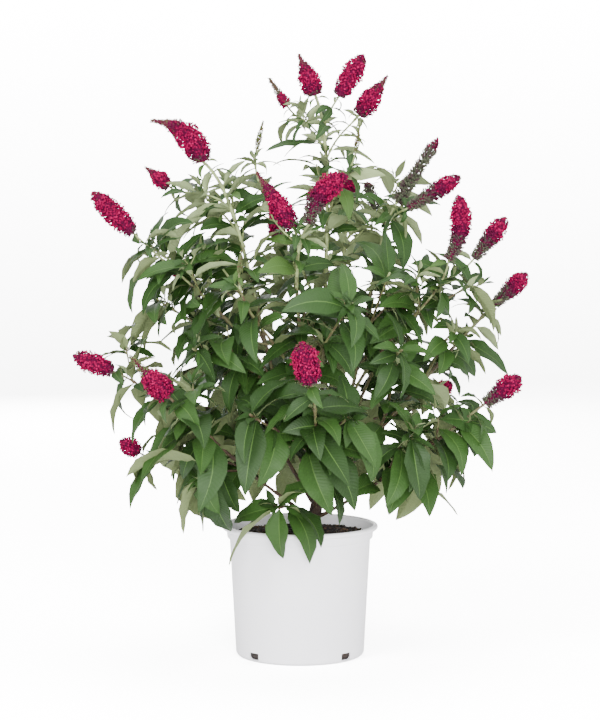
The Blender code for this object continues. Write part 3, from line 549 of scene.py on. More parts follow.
def leaf_pair(path, share, phase, size, crown, mass, chance):
    """Two leaves facing each other across a stem, each with its own small change of size and angle."""
    root, stem = point_at(path, share)
    age = youth(root)
    pair = []
    for side in (0, 1):
        turn = phase + side * math.pi + chance.uniform(*PAIR_TURN)
        length = mix(LEAF_LENGTH, age) * size * chance.uniform(*PAIR_SIZE)
        angle = math.radians(mix(LEAF_ANGLE, age) + chance.uniform(*PAIR_ANGLE))
        bend = math.radians(mix(LEAF_BEND, age) * chance.uniform(*PAIR_BEND))
        roll = chance.uniform(-LEAF_ROLL, LEAF_ROLL)
        foot = root - stem * PAIR_STEP * side
        ways = [turned(facing(stem), stem, turn + aside) for aside in ASIDE]
        tries = [leaf_on(foot, stem, outward, length, angle, bend, roll) for outward in ways]
        pair.append(fitted(tries, crown, mass))
    return [leaf for leaf in pair if leaf is not None]


def leaves_along(path, start, end, crown, mass, chance):
    """Pairs of leaves up a stem, each pair turned a quarter from the last, and the places of the pairs."""
    total = lengths(path)[-1]
    at, phase, leaves, nodes = start * total, chance.uniform(0, math.pi), [], []
    while at < end * total:
        up = (at / total - start) / (end - start)
        size = mix((1.0, END_LEAF_SHARE), up) * (LAST_PAIR_SHARE if up > LAST_PAIR_FROM else 1.0)
        leaves += leaf_pair(path, at / total, phase, size, crown, mass, chance)
        nodes.append((at / total, phase))
        phase += math.pi / 2 + chance.uniform(*NODE_TURN)
        at += mix(NODE_SPACING, up) * chance.uniform(*NODE_GAP)
    return leaves, nodes


def twig_route(path, share, phase, length):
    """A side twig from a leaf's axil: it sets out at 45 degrees and turns up."""
    root, stem = point_at(path, share)
    outward = turned(facing(stem), stem, phase)
    start = unit(stem + outward)
    end = root + start * length * TWIG_REACH + UP * length * TWIG_LIFT
    first, last = root + start * length * TWIG_SET_OUT, end - UP * length * TWIG_TURN_UP
    return bezier(root, first, last, end, TWIG_POINTS)


def tuft(path, crown, mass, chance):
    """The close whorl of leaves that a shoot without a flower head ends in."""
    leaves = []
    for number in range(TUFT_PAIRS):
        share, size = LEAVES_END_AT_TUFT - TUFT_STEP * number, TUFT_LEAF_SHARE + TUFT_GROWTH * number
        phase = TUFT_PHASE + number * math.pi / 2
        leaves += leaf_pair(path, share, phase, size, crown, mass, chance)
    return leaves


def twigs_along(path, nodes, crown, mass, chance):
    """Short side twigs from some of the axils, each ending in two pairs of small leaves."""
    twigs, leaves = [], []
    for share, phase in nodes:
        for side in (0, math.pi):
            if chance.random() > TWIG_CHANCE:
                continue
            route = twig_route(path, share, phase + side + TWIG_TURN, chance.uniform(*TWIG_LENGTH))
            if not crown.holds(route[3:], mass, 0.0) or not crown.is_open(route[3:], mass):
                continue
            twigs.append(route)
            for step, place in enumerate(TWIG_PAIRS_AT):
                turn = phase + step * math.pi / 2
                leaves += leaf_pair(route, place, turn, TWIG_LEAF_SHARE, crown, mass, chance)
    return twigs, leaves


class Growth(NamedTuple):
    """All that one mass is made of."""

    stem: np.ndarray
    branches: list
    twigs: list
    leaves: list


def grow(shoot, mass, crown):
    """The mass of one shoot, by the seeded rule."""
    chance = random.Random(GROWTH_SEED + mass)
    stem = stem_route(shoot)
    branches = [branch_route(stem, head) for head in shoot.heads[1:]]
    growth = Growth(stem, branches, [], [])
    for path, head in zip([stem, *branches], shoot.heads):
        start = shoot.bare + STEM_BARE_PAST_BOUGH if path is stem else BRANCH_BARE
        end = LEAVES_END_AT_TUFT if head.stage == "tuft" else LEAVES_END_AT_HEAD
        leaves, nodes = leaves_along(path, start, end, crown, mass, chance)
        if head.stage == "tuft":
            leaves += tuft(path, crown, mass, chance)
        twigs, small = twigs_along(path, nodes, crown, mass, chance)
        growth.leaves.extend(leaves + small)
        growth.twigs.extend(twigs)
    return growth


# ---------------------------------------------------------------- numpy surfaces


def normals_of(vectors):
    """Each row scaled to length 1."""
    return vectors / np.linalg.norm(vectors, axis=-1, keepdims=True)


def turns(count):
    """count even angles round a circle."""
    return np.arange(count) * math.tau / count


def piece(name, points, faces, finishes, pick=None, uv=None, smooth=True):
    """A mesh object. faces is a list of index arrays, pick each face's finish and uv each point's place."""
    mesh = bpy.data.meshes.new(name)
    corners = np.concatenate([f.ravel() for f in faces]).astype(np.int32)
    sizes = np.concatenate([np.full(len(f), f.shape[1]) for f in faces]).astype(np.int32)
    mesh.vertices.add(len(points))
    mesh.vertices.foreach_set("co", np.asarray(points, np.float32).ravel())
    mesh.loops.add(len(corners))
    mesh.loops.foreach_set("vertex_index", corners)
    mesh.polygons.add(len(sizes))
    mesh.polygons.foreach_set("loop_start", (np.cumsum(sizes) - sizes).astype(np.int32))
    mesh.polygons.foreach_set("loop_total", sizes)
    if pick is not None:
        mesh.polygons.foreach_set("material_index", np.asarray(pick, np.int32))
    for finish in finishes:
        mesh.materials.append(finish)
    if uv is not None:
        layer = mesh.uv_layers.new(name="UVMap")
        layer.data.foreach_set("uv", np.asarray(uv, np.float32)[corners].ravel())
    mesh.update(calc_edges=True)
    if mesh.validate():
        raise RuntimeError(f"{name} has faces that can't be used")
    if smooth:
        mesh.shade_smooth()
    obj = bpy.data.objects.new(name, mesh)
    bpy.context.scene.collection.objects.link(obj)
    return obj


def grid(rows, columns, wrap=True):
    """Quads of a grid of points, row by row. wrap joins the last column to the first."""
    r, c = np.meshgrid(np.arange(rows - 1), np.arange(columns if wrap else columns - 1), indexing="ij")
    r, c = r.ravel(), c.ravel()
    n = (c + 1) % columns
    return np.stack([r * columns + c, r * columns + n, (r + 1) * columns + n, (r + 1) * columns + c], 1)


def fan(centre, first, columns, outward=True):
    """Triangles from one point to a closed ring of columns points that starts at first."""
    c = np.arange(columns)
    ring, after = first + c, first + (c + 1) % columns
    pair = (ring, after) if outward else (after, ring)
    return np.stack([np.full(columns, centre), *pair], 1)


def closed(rings, ends):
    """The surface through rings of points, given as (rings, sides, 3), closed by a pole at each end."""
    rows, sides = rings.shape[:2]
    total = rows * sides
    faces = [grid(rows, sides), fan(total, 0, sides, False), fan(total + 1, total - sides, sides)]
    return np.vstack([rings.reshape(-1, 3), ends]), faces


def turned_surface(profile, sides):
    """A solid of revolution: each (radius, height) of the profile becomes a ring, and its ends are poles."""
    radius, height = np.array(profile, float).T[..., None]
    x, y = radius * np.cos(turns(sides)), radius * np.sin(turns(sides))
    rings = np.stack([x, y, height + 0 * x], -1)
    return closed(rings[1:-1], [[0, 0, height[0, 0]], [0, 0, height[-1, 0]]])


# How far a tube's poles stand out of its end rings, as shares of the radius there.
TUBE_FOOT = 0.3
TUBE_TIP = 0.8


def tubes(path, radii, sides, relief=1.0):
    """A closed tube: rings square to the path, whose radius may be changed by a relief grid."""
    path, radii = np.asarray(path, float), np.asarray(radii, float)
    heading = normals_of(np.gradient(path, axis=0))
    axis = np.eye(3)[np.argmin(np.abs(heading.mean(0)))]
    side = normals_of(np.cross(heading, axis))
    other = np.cross(heading, side)
    angle = turns(sides)
    spoke = side[:, None] * np.cos(angle)[None, :, None] + other[:, None] * np.sin(angle)[None, :, None]
    swell = np.broadcast_to(relief, (len(path), sides))
    rings = path[:, None] + spoke * (radii[:, None] * swell)[..., None]
    foot, tip = path[0] - heading[0] * radii[0] * TUBE_FOOT, path[-1] + heading[-1] * radii[-1] * TUBE_TIP
    return closed(rings, [foot, tip])


class Batch:
    """Gathers many small meshes to be joined into one piece."""

    def __init__(self):
        self.points, self.faces, self.pick, self.count = [], [], [], 0

    def add(self, points, faces, pick=0):
        """Adds one mesh, with a finish for all its faces or one for each."""
        self.faces += [f + self.count for f in faces]
        self.pick.append(np.broadcast_to(pick, (sum(len(f) for f in faces),)))
        self.points.append(points)
        self.count += len(points)

    def build(self, name, finishes, smooth=True):
        """The joined piece."""
        points, pick = np.concatenate(self.points), np.concatenate(self.pick)
        return piece(name, points, self.faces, finishes, pick, smooth=smooth)


def placed(template, centre, right, ahead, up, size):
    """Copies of a template, one for each row: its x, y and z run along right, ahead and up."""
    axes = np.stack([right, ahead, up], 1)
    return centre[:, None, :] + template @ axes * size[:, None, None]


def copies(points, faces, table, kinds=None):
    """Joins the copies of a template: points is (copies, points, 3), and faces are the template's own.

    kinds gives each face's kind, all 0 where it is left out, and table each copy's finish for each kind.
    """
    count, width = points.shape[:2]
    step = np.arange(count)[:, None, None] * width
    joined = [(f[None] + step).reshape(-1, f.shape[1]) for f in faces]
    kinds = kinds or [np.zeros(len(f), int) for f in faces]
    return points.reshape(-1, 3), joined, np.concatenate([table[:, kind].ravel() for kind in kinds])


def frames_about(direction, spin):
    """Two unit vectors square to each direction and to each other, turned about it by spin."""
    helper = np.where(np.abs(direction[:, 2:]) < 0.9, [[0.0, 0.0, 1.0]], [[1.0, 0.0, 0.0]])
    first = normals_of(np.cross(helper, direction))
    second = np.cross(direction, first)
    c, s = np.cos(spin)[:, None], np.sin(spin)[:, None]
    return first * c + second * s, second * c - first * s


# A ripple's waves: how many, how much shorter and how much weaker each is than the last, and what their
# sum is divided by.
WAVES = 5
WAVE_SHORTER = 1.7
WAVE_WEAKER = 1.35
WAVE_SUM = 2.6


def ripple(points, scale, seed):
    """Smooth noise from -1 to 1: a sum of waves with seeded directions and phases."""
    rng = np.random.default_rng(seed)
    total = np.zeros(points.shape[:-1])
    for octave in range(WAVES):
        direction = normals_of(rng.normal(size=3)) * scale * WAVE_SHORTER**octave
        total += np.sin(points @ direction + rng.uniform(0, math.tau)) / WAVE_WEAKER**octave
    return total / WAVE_SUM


# ---------------------------------------------------------------- finishes


def shader_group(name, inputs, outputs):
    """An empty node group with float inputs given as name: default, and outputs given as name: kind."""
    made = bpy.data.node_groups.new(name, "ShaderNodeTree")
    for label, default in inputs.items():
        socket = made.interface.new_socket(label, in_out="INPUT", socket_type="NodeSocketFloat")
        socket.default_value = default
    for label, kind in outputs.items():
        made.interface.new_socket(label, in_out="OUTPUT", socket_type=f"NodeSocket{kind}")
    return made, made.nodes.new("NodeGroupInput"), made.nodes.new("NodeGroupOutput")


def wire(tree, source, target):
    """Links one socket to another."""
    tree.links.new(source, target)


def math_node(tree, operation, first, second=0.0):
    """A Math node fed by sockets or numbers; returns its output."""
    node = tree.nodes.new("ShaderNodeMath")
    node.operation = operation
    for slot, value in enumerate((first, second)):
        if isinstance(value, (int, float)):
            node.inputs[slot].default_value = value
        else:
            wire(tree, value, node.inputs[slot])
    return node.outputs[0]


@lru_cache(maxsize=None)
def mottle_group():
    """Cloudy variation on Object coordinates: a Mask from 0 to 1 and a fine Height."""
    group, given, out = shader_group(
        "mottle", {"Patch Size": 20.0, "Grain Size": 400.0}, {"Mask": "Float", "Height": "Float"}
    )
    place = group.nodes.new("ShaderNodeTexCoord")
    for label, socket, detail in (("Patch Size", "Mask", 3.0), ("Grain Size", "Height", 2.0)):
        noise = group.nodes.new("ShaderNodeTexNoise")
        noise.inputs["Detail"].default_value = detail
        wire(group, place.outputs["Object"], noise.inputs["Vector"])
        wire(group, given.outputs[label], noise.inputs["Scale"])
        wire(group, noise.outputs["Fac"], out.inputs[socket])
    return group


@lru_cache(maxsize=None)
def vein_group():
    """Side veins on a blade's own UV map: they leave the midrib and run forward to the margin."""
    group, given, out = shader_group("leaf_veins", {"Veins": 11.0, "Slant": 2.2}, {"Height": "Float"})
    place = group.nodes.new("ShaderNodeUVMap")
    place.uv_map = "UVMap"
    split = group.nodes.new("ShaderNodeSeparateXYZ")
    wire(group, place.outputs["UV"], split.inputs[0])
    off = math_node(group, "ABSOLUTE", math_node(group, "SUBTRACT", split.outputs["X"], 0.5))
    run = math_node(group, "MULTIPLY", split.outputs["Y"], given.outputs["Veins"])
    lag = math_node(group, "MULTIPLY", off, given.outputs["Slant"])
    lag = math_node(group, "SUBTRACT", run, lag)
    wave = math_node(group, "SINE", math_node(group, "MULTIPLY", lag, math.tau))
    wire(group, math_node(group, "ABSOLUTE", wave), out.inputs["Height"])
    return group


def finish_of(name, colour, roughness, shine=0.5):
    """A Principled material and its shader, with constants set on the shader's own sockets."""
    made = bpy.data.materials.new(name)
    made.use_nodes = True
    shader = made.node_tree.nodes["Principled BSDF"]
    shader.inputs["Base Color"].default_value = (*colour, 1.0)
    shader.inputs["Roughness"].default_value = roughness
    shader.inputs["Specular IOR Level"].default_value = shine
    made.diffuse_color = (*colour, 1.0)
    return made, shader


def plain(rows, given):
    """A plain finish for each row of name, setting, roughness and shine."""
    return [finish_of(name, getattr(given, key), roughness, shine)[0] for name, key, roughness, shine in rows]


def group_node(tree, group, **inputs):
    """A node that holds a group, with constants for some of its inputs."""
    node = tree.nodes.new("ShaderNodeGroup")
    node.node_tree = group
    for label, value in inputs.items():
        node.inputs[label.replace("_", " ")].default_value = value
    return node


def press(tree, height, shader, strength, depth):
    """Bumps a shader's surface by a height socket."""
    bump = tree.nodes.new("ShaderNodeBump")
    bump.inputs["Strength"].default_value = strength
    bump.inputs["Distance"].default_value = depth
    wire(tree, height, bump.inputs["Height"])
    wire(tree, bump.outputs["Normal"], shader.inputs["Normal"])


# Mottled finishes: name, the settings of the two tones, roughness, the sizes of patches and of grain (larger
# numbers are finer), the grain's depth and strength, and the shine.
PLASTIC = ("moulded_plastic", "plastic", "plastic_worn", 0.30, 9.0, 900.0, 0.00015, 0.25, 0.45)
PEAT = ("wet_peat", "dark", "brown", 0.95, 60.0, 700.0, 0.0012, 0.9)
TRUNK_BARK = ("trunk_bark", "bark", "bark_dark", 0.85, 110.0, 1500.0, 0.0008, 0.8)
BOUGH_BARK = ("bough_bark", "bough", "bough_dark", 0.7, 130.0, 1800.0, 0.0004, 0.6)
STEM_BARKS = (
    ("woody_stem", "bough", "bough_dark", 0.7, 150.0, 1700.0, 0.0003, 0.4),
    ("olive_stem", "stem_old", "bough", 0.62, 60.0, 1500.0, 0.0002, 0.4),
    ("sage_stem", "stem_young", "stem_old", 0.66, 60.0, 1500.0, 0.0002, 0.4),
)

# The part of the noise's range over which a mottled finish goes from its first tone to its second.
DRIFT = (0.35, 0.65)
VEIN_DEPTH = 0.0006


def mottled(given, name, first, second, roughness, patch, grain, depth, strength, shine=0.5):
    """A finish whose colour drifts between two of the settings in soft patches, over fine grain."""
    colours = getattr(given, first), getattr(given, second)
    made, shader = finish_of(name, colours[0], roughness, shine)
    tree = made.node_tree
    noise = group_node(tree, mottle_group(), Patch_Size=patch, Grain_Size=grain)
    tones = tree.nodes.new("ShaderNodeMix")
    tones.data_type = "RGBA"
    for socket, colour in zip("AB", colours):
        tones.inputs[socket].default_value = (*colour, 1.0)
    ramp = tree.nodes.new("ShaderNodeMapRange")
    ramp.inputs["From Min"].default_value, ramp.inputs["From Max"].default_value = DRIFT
    wire(tree, noise.outputs["Mask"], ramp.inputs["Value"])
    wire(tree, ramp.outputs["Result"], tones.inputs["Factor"])
    wire(tree, tones.outputs["Result"], shader.inputs["Base Color"])
    press(tree, noise.outputs["Height"], shader, strength, depth)
    return made


def blade_finish(name, colour, roughness, shine, strength):
    """A leaf's finish: a plain colour over side veins that are pressed into the blade."""
    made, shader = finish_of(name, colour, roughness, shine)
    veins = group_node(made.node_tree, vein_group())
    press(made.node_tree, veins.outputs["Height"], shader, strength, VEIN_DEPTH)
    return made


def linear(hexadecimal):
    """A linear colour from an sRGB one written as six hexadecimal digits."""
    parts = [int(hexadecimal[i : i + 2], 16) / 255 for i in (0, 2, 4)]
    return tuple(p / 12.92 if p <= 0.04045 else ((p + 0.055) / 1.055) ** 2.4 for p in parts)


# ---------------------------------------------------------------- settings


def colour_setting(name, description, hexadecimal):
    """A colour property, its default given as an sRGB hexadecimal."""
    return bpy.props.FloatVectorProperty(
        name=name, description=description, subtype="COLOR", size=3, min=0, max=1, default=linear(hexadecimal)
    )


def length_setting(name, description, default):
    """A length property in metres."""
    return bpy.props.FloatProperty(
        name=name, description=description, default=default, min=0, unit="LENGTH", precision=4
    )


def number_setting(name, description, default, low=0.0, high=100.0):
    """A plain number, such as a share."""
    return bpy.props.FloatProperty(name=name, description=description, default=default, min=low, max=high)


class PotSettings(bpy.types.PropertyGroup):
    """Sizes and colours of the moulded pot."""

    height: length_setting("Height", "Height of the pot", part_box("pot")[1][2])
    rim_radius: length_setting("Rim radius", "Outer radius of the rolled lip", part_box("pot")[1][0])
    plastic: colour_setting("Plastic", "Colour of the moulded plastic", "F1F0F4")
    plastic_worn: colour_setting("Worn plastic", "Faint cloudy patches in the plastic", "EDECF1")


class SoilSettings(bpy.types.PropertyGroup):
    """Sizes and colours of the potting soil."""

    chip_count: bpy.props.IntProperty(
        name="Chips", description="Pieces of bark on the soil", default=2600, min=0
    )
    chip_length: length_setting("Chip length", "Length of a typical piece of bark", 0.0065)
    dark: colour_setting("Dark", "Wet peat and the darkest bark", "191514")
    brown: colour_setting("Brown", "Middle-brown bark", "2E2019")
    pale: colour_setting("Pale", "Dry bark and straw", "54402F")


class WoodSettings(bpy.types.PropertyGroup):
    """Relief and colours of the trunk, the boughs and the stems."""

    bark_relief: number_setting("Bark relief", "Depth of the fissures as a share of the radius", 0.13, 0, 0.4)
    bark: colour_setting("Bark", "Reddish-brown bark of the trunk", "3E2F24")
    bark_dark: colour_setting("Dark bark", "Fissures of the bark", "231B15")
    bough: colour_setting("Bough", "Thin bark of the boughs", "4A3826")
    bough_dark: colour_setting("Dark bough", "Shaded patches of the boughs", "32261A")
    stem_old: colour_setting("Old stem", "Stems low in the crown", "5C623A")
    stem_young: colour_setting("Young stem", "Stems high in the crown", "8A9A62")


class LeafSettings(bpy.types.PropertyGroup):
    """Shape and colours of the leaves."""

    width_share: number_setting("Width share", "A low leaf's width as a share of its length", 0.47, 0.1, 0.6)
    thickness: length_setting("Thickness", "Thickness of a blade at its midrib", 0.0009)
    sprig_chance: number_setting("Sprigs", "Share of the axils that carry a small sprig", 0.38, 0, 1)
    old: colour_setting("Old leaf", "Upper side of the leaves low on the bush", "1C3310")
    old_light: colour_setting("Old leaf, light", "A lighter tint of the old leaves", "284318")
    full: colour_setting("Full leaf", "Upper side of the leaves halfway up", "213A14")
    young: colour_setting("Young leaf", "Upper side of the youngest leaves", "375022")
    under: colour_setting("Underside", "Felted underside of the leaves", "6A7650")
    under_young: colour_setting("Young underside", "Underside of the youngest leaves", "86946A")
    rib: colour_setting("Midrib", "Midrib on the upper side", "3F5A2A")


class BlossomSettings(bpy.types.PropertyGroup):
    """Sizes and colours of the flower heads."""

    floret_radius: length_setting("Floret radius", "Half the width of an open floret", 0.0023)
    spacing: length_setting("Spacing", "Distance between florets on a head", 0.0032)
    bright: colour_setting("Bright", "Open florets in full colour", "780636")
    # This tint is a painted highlight: a lighter copy of the open florets' colour, dealt out at random, that
    # stands in for florets catching the light.
    painted_highlight: colour_setting("Rose", "Open florets where they catch the light", "980C48")
    deep: colour_setting("Deep", "Older florets", "500C2E")
    spent: colour_setting("Spent", "Dried florets", "48383A")
    husk: colour_setting("Husk", "Empty calyces", "4E5242")
    bud: colour_setting("Bud", "Unopened buds", "5C4238")
    bud_green: colour_setting("Green bud", "The youngest buds", "56603C")


class StageSettings(bpy.types.PropertyGroup):
    """The floor, the lights and the camera."""

    backdrop: colour_setting("Backdrop", "Floor and background", "FFFFFF")
    glow: number_setting("Glow", "How much brighter the camera sees the paper", 4.0)
    wall_glow: number_setting("Wall glow", "How much brighter still for each metre that the paper rises", 2.5)
    sky_glow: number_setting("Sky glow", "How much brighter the camera sees what lies past the paper", 14.0)
    camera_distance: length_setting("Camera distance", "From the plant's middle", 4.2)
    camera_height: length_setting("Camera height", "Above the floor", 0.86)
    camera_pitch: bpy.props.FloatProperty(
        name="Camera pitch", description="How far it looks down", default=math.radians(4.5), subtype="ANGLE"
    )
    lens: number_setting("Lens", "Focal length in millimetres", 118.2, 10, 1000)


SETTINGS = {
    "pot": PotSettings,
    "soil": SoilSettings,
    "wood": WoodSettings,
    "leaf": LeafSettings,
    "blossom": BlossomSettings,
    "stage": StageSettings,
}


def settings(context, part):
    """The settings of one part of the plant."""
    return getattr(context.scene, f"bush_{part}")


# ---------------------------------------------------------------- the growth, worked out once


@lru_cache(maxsize=None)
def crown_and_growths():
    """Every mass as the rule grows it, and the crown that knows which space is taken."""
    crown = Crown(SHOOTS)
    return crown, [grow(shoot, mass, crown) for mass, shoot in enumerate(SHOOTS)]


def head_balls():
    """Every flower head's samples, to keep leaves off them."""
    return balls_of([sample for shoot in SHOOTS for head in shoot.heads for sample in head_samples(head)])


class Sprig(NamedTuple):
    """A small leafy shoot in a leaf's axil: its stem's route and its leaves."""

    route: np.ndarray
    leaves: list


# Small sprigs in the axils: their length, their leaves' length and number, and how they stand.
SPRIG_SEED = 77
SPRIG_LENGTH = (0.006, 0.026)
SPRIG_PAIRS = (2, 2, 3)
SPRIG_STEP = 0.36
SPRIG_HEADING = (0.9, 0.7, 0.25)
SPRIG_LEAF = 0.042
SPRIG_LEAF_SHARE = (0.62, 0.92)
SPRIG_LEAF_ANGLE = (28, 48)
SPRIG_LEAF_BEND = (14, 50)
SPRIG_POINTS = 6
SMALL_ROLL = 0.5

# More leaves at closer nodes: their spacing at a stem's foot and its end, how far that is drawn out low and
# high on the bush, how the leaves differ, and the room that they need.
INFILL_SPACING = (0.031, 0.024)
INFILL_SPREAD = (1.7, 0.75)
INFILL_GAP = (0.85, 1.15)
INFILL_SIZE = (0.95, 0.6)
INFILL_SIZE_SPREAD = (0.6, 1.0)
INFILL_ANGLE = (-14, 14)
INFILL_TURN = (-0.3, 0.3)
INFILL_ROOM = 0.0045
INFILL_PAST_BARE = 0.02
INFILL_START = 0.1
INFILL_END = 0.99
INFILL_END_AT_HEAD = 0.93
HEAD_ROOM = 0.016
HEAD_ROOM_SHARE = 0.62

# Pairs of leaves under a flower head: how far below it, and their share of HEAD_LEAF, which is given
# for low and for high in the crown.
HEAD_PAIRS = ((0.007, 0.60), (0.028, 1.0))
HEAD_PAIR_TURN = (-0.3, 0.3)
HEAD_LEAF = (0.092, 0.062)
HEAD_LEAF_SPREAD = (0.8, 1.15)
BUD_LEAF_SHARE = 0.6
HEAD_LEAF_ANGLE = 74
HEAD_LEAF_BEND = (50, 95)


# A sprig's bow and sag as shares of its length, its last node's share, and how its leaves differ in length.
SPRIG_BOW = 0.4
SPRIG_SAG = 0.1
SPRIG_LAST_NODE = 0.99
SPRIG_LEAF_SPREAD = (0.8, 1.25)


def sprig_at(leaf, mass, crown, chance):
    """The rule carried one step finer: a short twig in a leaf's axil with two or three pairs of leaves."""
    ahead, aside, lift = SPRIG_HEADING
    heading = unit(leaf.stem * ahead + across(leaf.along, leaf.stem) * aside + UP * lift)
    length = chance.uniform(*SPRIG_LENGTH)
    end = leaf.root + heading * length
    bow, sag = leaf.root + heading * length * SPRIG_BOW, end - UP * length * SPRIG_SAG
    route = bezier(leaf.root, bow, sag, end, SPRIG_POINTS)
    leaves, phase = [], chance.uniform(0, math.pi)
    for number in range(chance.choice(SPRIG_PAIRS)):
        root, stem = point_at(route, min(1.0 - SPRIG_STEP * number, SPRIG_LAST_NODE))
        for side in (0, 1):
            out = turned(facing(stem), stem, phase + side * math.pi + number * math.pi / 2)
            size = SPRIG_LEAF * mix(SPRIG_LEAF_SHARE, number) * chance.uniform(*SPRIG_LEAF_SPREAD)
            angle = math.radians(mix(SPRIG_LEAF_ANGLE, number))
            bend = math.radians(chance.uniform(*SPRIG_LEAF_BEND))
            small = leaf_on(root, stem, out, size, angle, bend, chance.uniform(-SMALL_ROLL, SMALL_ROLL))
            if crown.holds(leaf_outline(small), mass):
                leaves.append(small)
    return Sprig(route, leaves)


@lru_cache(maxsize=None)
def sprigs(chance_of_one):
    """Sprigs in a share of the axils of every mass."""
    crown, growths = crown_and_growths()
    chance = random.Random(SPRIG_SEED)
    found = []
    for mass, growth in enumerate(growths):
        for leaf in growth.leaves:
            if chance.random() < chance_of_one:
                found.append(sprig_at(leaf, mass, crown, chance))
    return found


def paths_of(shoot, growth):
    """A mass's stem, branches and twigs, each with the head that it carries, or None."""
    paths = [growth.stem, *growth.branches, *growth.twigs]
    return zip(paths, [*shoot.heads, *[None] * len(growth.twigs)])


@lru_cache(maxsize=None)
def infill():
    """More leaves by the same rule, at closer nodes, wherever a stem has room left for them."""
    crown, growths = crown_and_growths()
    taken, heads = np.concatenate(crown.blades), head_balls()
    found = []

    def has_room(outline, mass):
        if not crown.holds(outline, mass) or nearest(outline, heads).min() < HEAD_ROOM:
            return False
        return np.linalg.norm(outline[:, None] - taken[None], axis=2).min() > INFILL_ROOM

    for mass, (shoot, growth) in enumerate(zip(SHOOTS, growths)):
        chance = random.Random(SPRIG_SEED + 1 + mass)
        for path, head in paths_of(shoot, growth):
            total = lengths(path)[-1]
            start = shoot.bare + INFILL_PAST_BARE if path is growth.stem else INFILL_START
            end = INFILL_END_AT_HEAD if head is not None and head.width else INFILL_END
            at, phase = start * total, chance.uniform(0, math.pi)
            while at < end * total:
                up = (at / total - start) / (end - start)
                root, stem = point_at(path, at / total)
                age = youth(root)
                for side in (0, 1):
                    out = turned(facing(stem), stem, phase + side * math.pi)
                    size = mix(LEAF_LENGTH, age) * mix(INFILL_SIZE, up) * chance.uniform(*INFILL_SIZE_SPREAD)
                    angle = math.radians(mix(LEAF_ANGLE, age) + chance.uniform(*INFILL_ANGLE))
                    bend = math.radians(mix(LEAF_BEND, age) * chance.uniform(*PAIR_BEND))
                    leaf = leaf_on(root, stem, out, size, angle, bend, chance.uniform(-LEAF_ROLL, LEAF_ROLL))
                    outline = leaf_outline(leaf)
                    if has_room(outline, mass):
                        taken = np.vstack([taken, outline])
                        found.append(leaf)
                phase += math.pi / 2 + chance.uniform(*INFILL_TURN)
                at += mix(INFILL_SPACING, up) * mix(INFILL_SPREAD, age) * chance.uniform(*INFILL_GAP)
    return found


@lru_cache(maxsize=None)
def head_leaves():
    """The rule's last pairs, right under each flower head, which arch out and hang."""
    crown, growths = crown_and_growths()
    chance = random.Random(SPRIG_SEED + 50)
    found = []
    for mass, (shoot, growth) in enumerate(zip(SHOOTS, growths)):
        for path, head in zip([growth.stem, *growth.branches], shoot.heads):
            total, phase = lengths(path)[-1], chance.uniform(0, math.pi)
            for below, share in HEAD_PAIRS if head.width else ():
                root, stem = point_at(path, max(0.5, 1 - below / total))
                for side in (0, 1):
                    out = turned(facing(stem), stem, phase + side * math.pi + chance.uniform(*HEAD_PAIR_TURN))
                    size = mix(HEAD_LEAF, youth(root)) * share * chance.uniform(*HEAD_LEAF_SPREAD)
                    size = size * (BUD_LEAF_SHARE if head.stage == "bud" else 1.0)
                    angle, bend = math.radians(HEAD_LEAF_ANGLE), math.radians(chance.uniform(*HEAD_LEAF_BEND))
                    roll = chance.uniform(-SMALL_ROLL, SMALL_ROLL)
                    leaf = leaf_on(root, stem, out, size, angle, bend, roll)
                    if crown.holds(leaf_outline(leaf), mass):
                        found.append(leaf)
                phase += math.pi / 2
    return found


# ---------------------------------------------------------------- the pot

POT_ROUND = 160
SLOT_RADIUS = 0.0016
SLOT_ROUND = 24
SLOT_REACH = 0.012
ROLL_RADIUS = 0.0046
ROLL_RISE = 0.0048
SHOULDER = 0.0048
FOOT_CHAMFER = 0.008
SHARP_ABOVE = math.radians(32)
# The foot's rounding and the lip's roll, each by its first and last angle and its number of points.
FOOT_TURN = (0, 1.5, 7)
ROLL_TURN = (-1.35, 3.3, 15)
# The hollow under the foot and the ring round it. Then the wall's turns, as steps outward and up: those of
# the stepped collar, of the shoulder under the lip, and of the way back in, from the lip down to the floor.
FOOT_HOLLOW = 0.0020
FOOT_RING = (0.022, 0.018)
COLLAR_TURNS = ((-0.0006, -0.0012), (0.0006, 0.0), (0.0032, 0.0004), (0.0038, 0.0018))
SHOULDER_TURNS = ((0.0, -0.0020), (0.0006, 0.0002))
LIP_INSIDE = (0.0026, -0.0018)
COLLAR_INSIDE = (0.0012, 0.0030)
WALL_INSIDE_DROP = 0.0010
FLOOR_TURN = (0.006, 0.007)


def pot_profile(height, rim):
    """The wall's outline, from the middle of the underside, up the outside, and down to the inner floor."""
    collar, lip = height - COLLAR_HEIGHT, height - LIP_HEIGHT
    turn = np.linspace(*FOOT_TURN)
    foot = zip(FOOT_RADIUS + FOOT_CHAMFER * (np.sin(turn) - 1), FOOT_CHAMFER * (1 - np.cos(turn)))
    turn = np.linspace(*ROLL_TURN)
    roll = zip(rim + ROLL_RADIUS * (np.cos(turn) - 1), lip + ROLL_RISE + ROLL_RADIUS * np.sin(turn))
    shoulder = WALL_TOP_RADIUS + SHOULDER
    return [
        (0.0, FOOT_HOLLOW),
        (FOOT_RADIUS - FOOT_RING[0], FOOT_HOLLOW),
        (FOOT_RADIUS - FOOT_RING[1], 0.0),
        *foot,
        *((WALL_TOP_RADIUS + out, collar + up) for out, up in COLLAR_TURNS),
        *((shoulder + out, lip + up) for out, up in SHOULDER_TURNS),
        *roll,
        (WALL_TOP_RADIUS + LIP_INSIDE[0], lip + LIP_INSIDE[1]),
        (WALL_TOP_RADIUS + COLLAR_INSIDE[0], collar + COLLAR_INSIDE[1]),
        (WALL_TOP_RADIUS - WALL, collar - WALL_INSIDE_DROP),
        (FOOT_RADIUS - WALL, FLOOR + FLOOR_TURN[1]),
        (FOOT_RADIUS - WALL - FLOOR_TURN[0], FLOOR),
        (0.0, FLOOR),
    ]


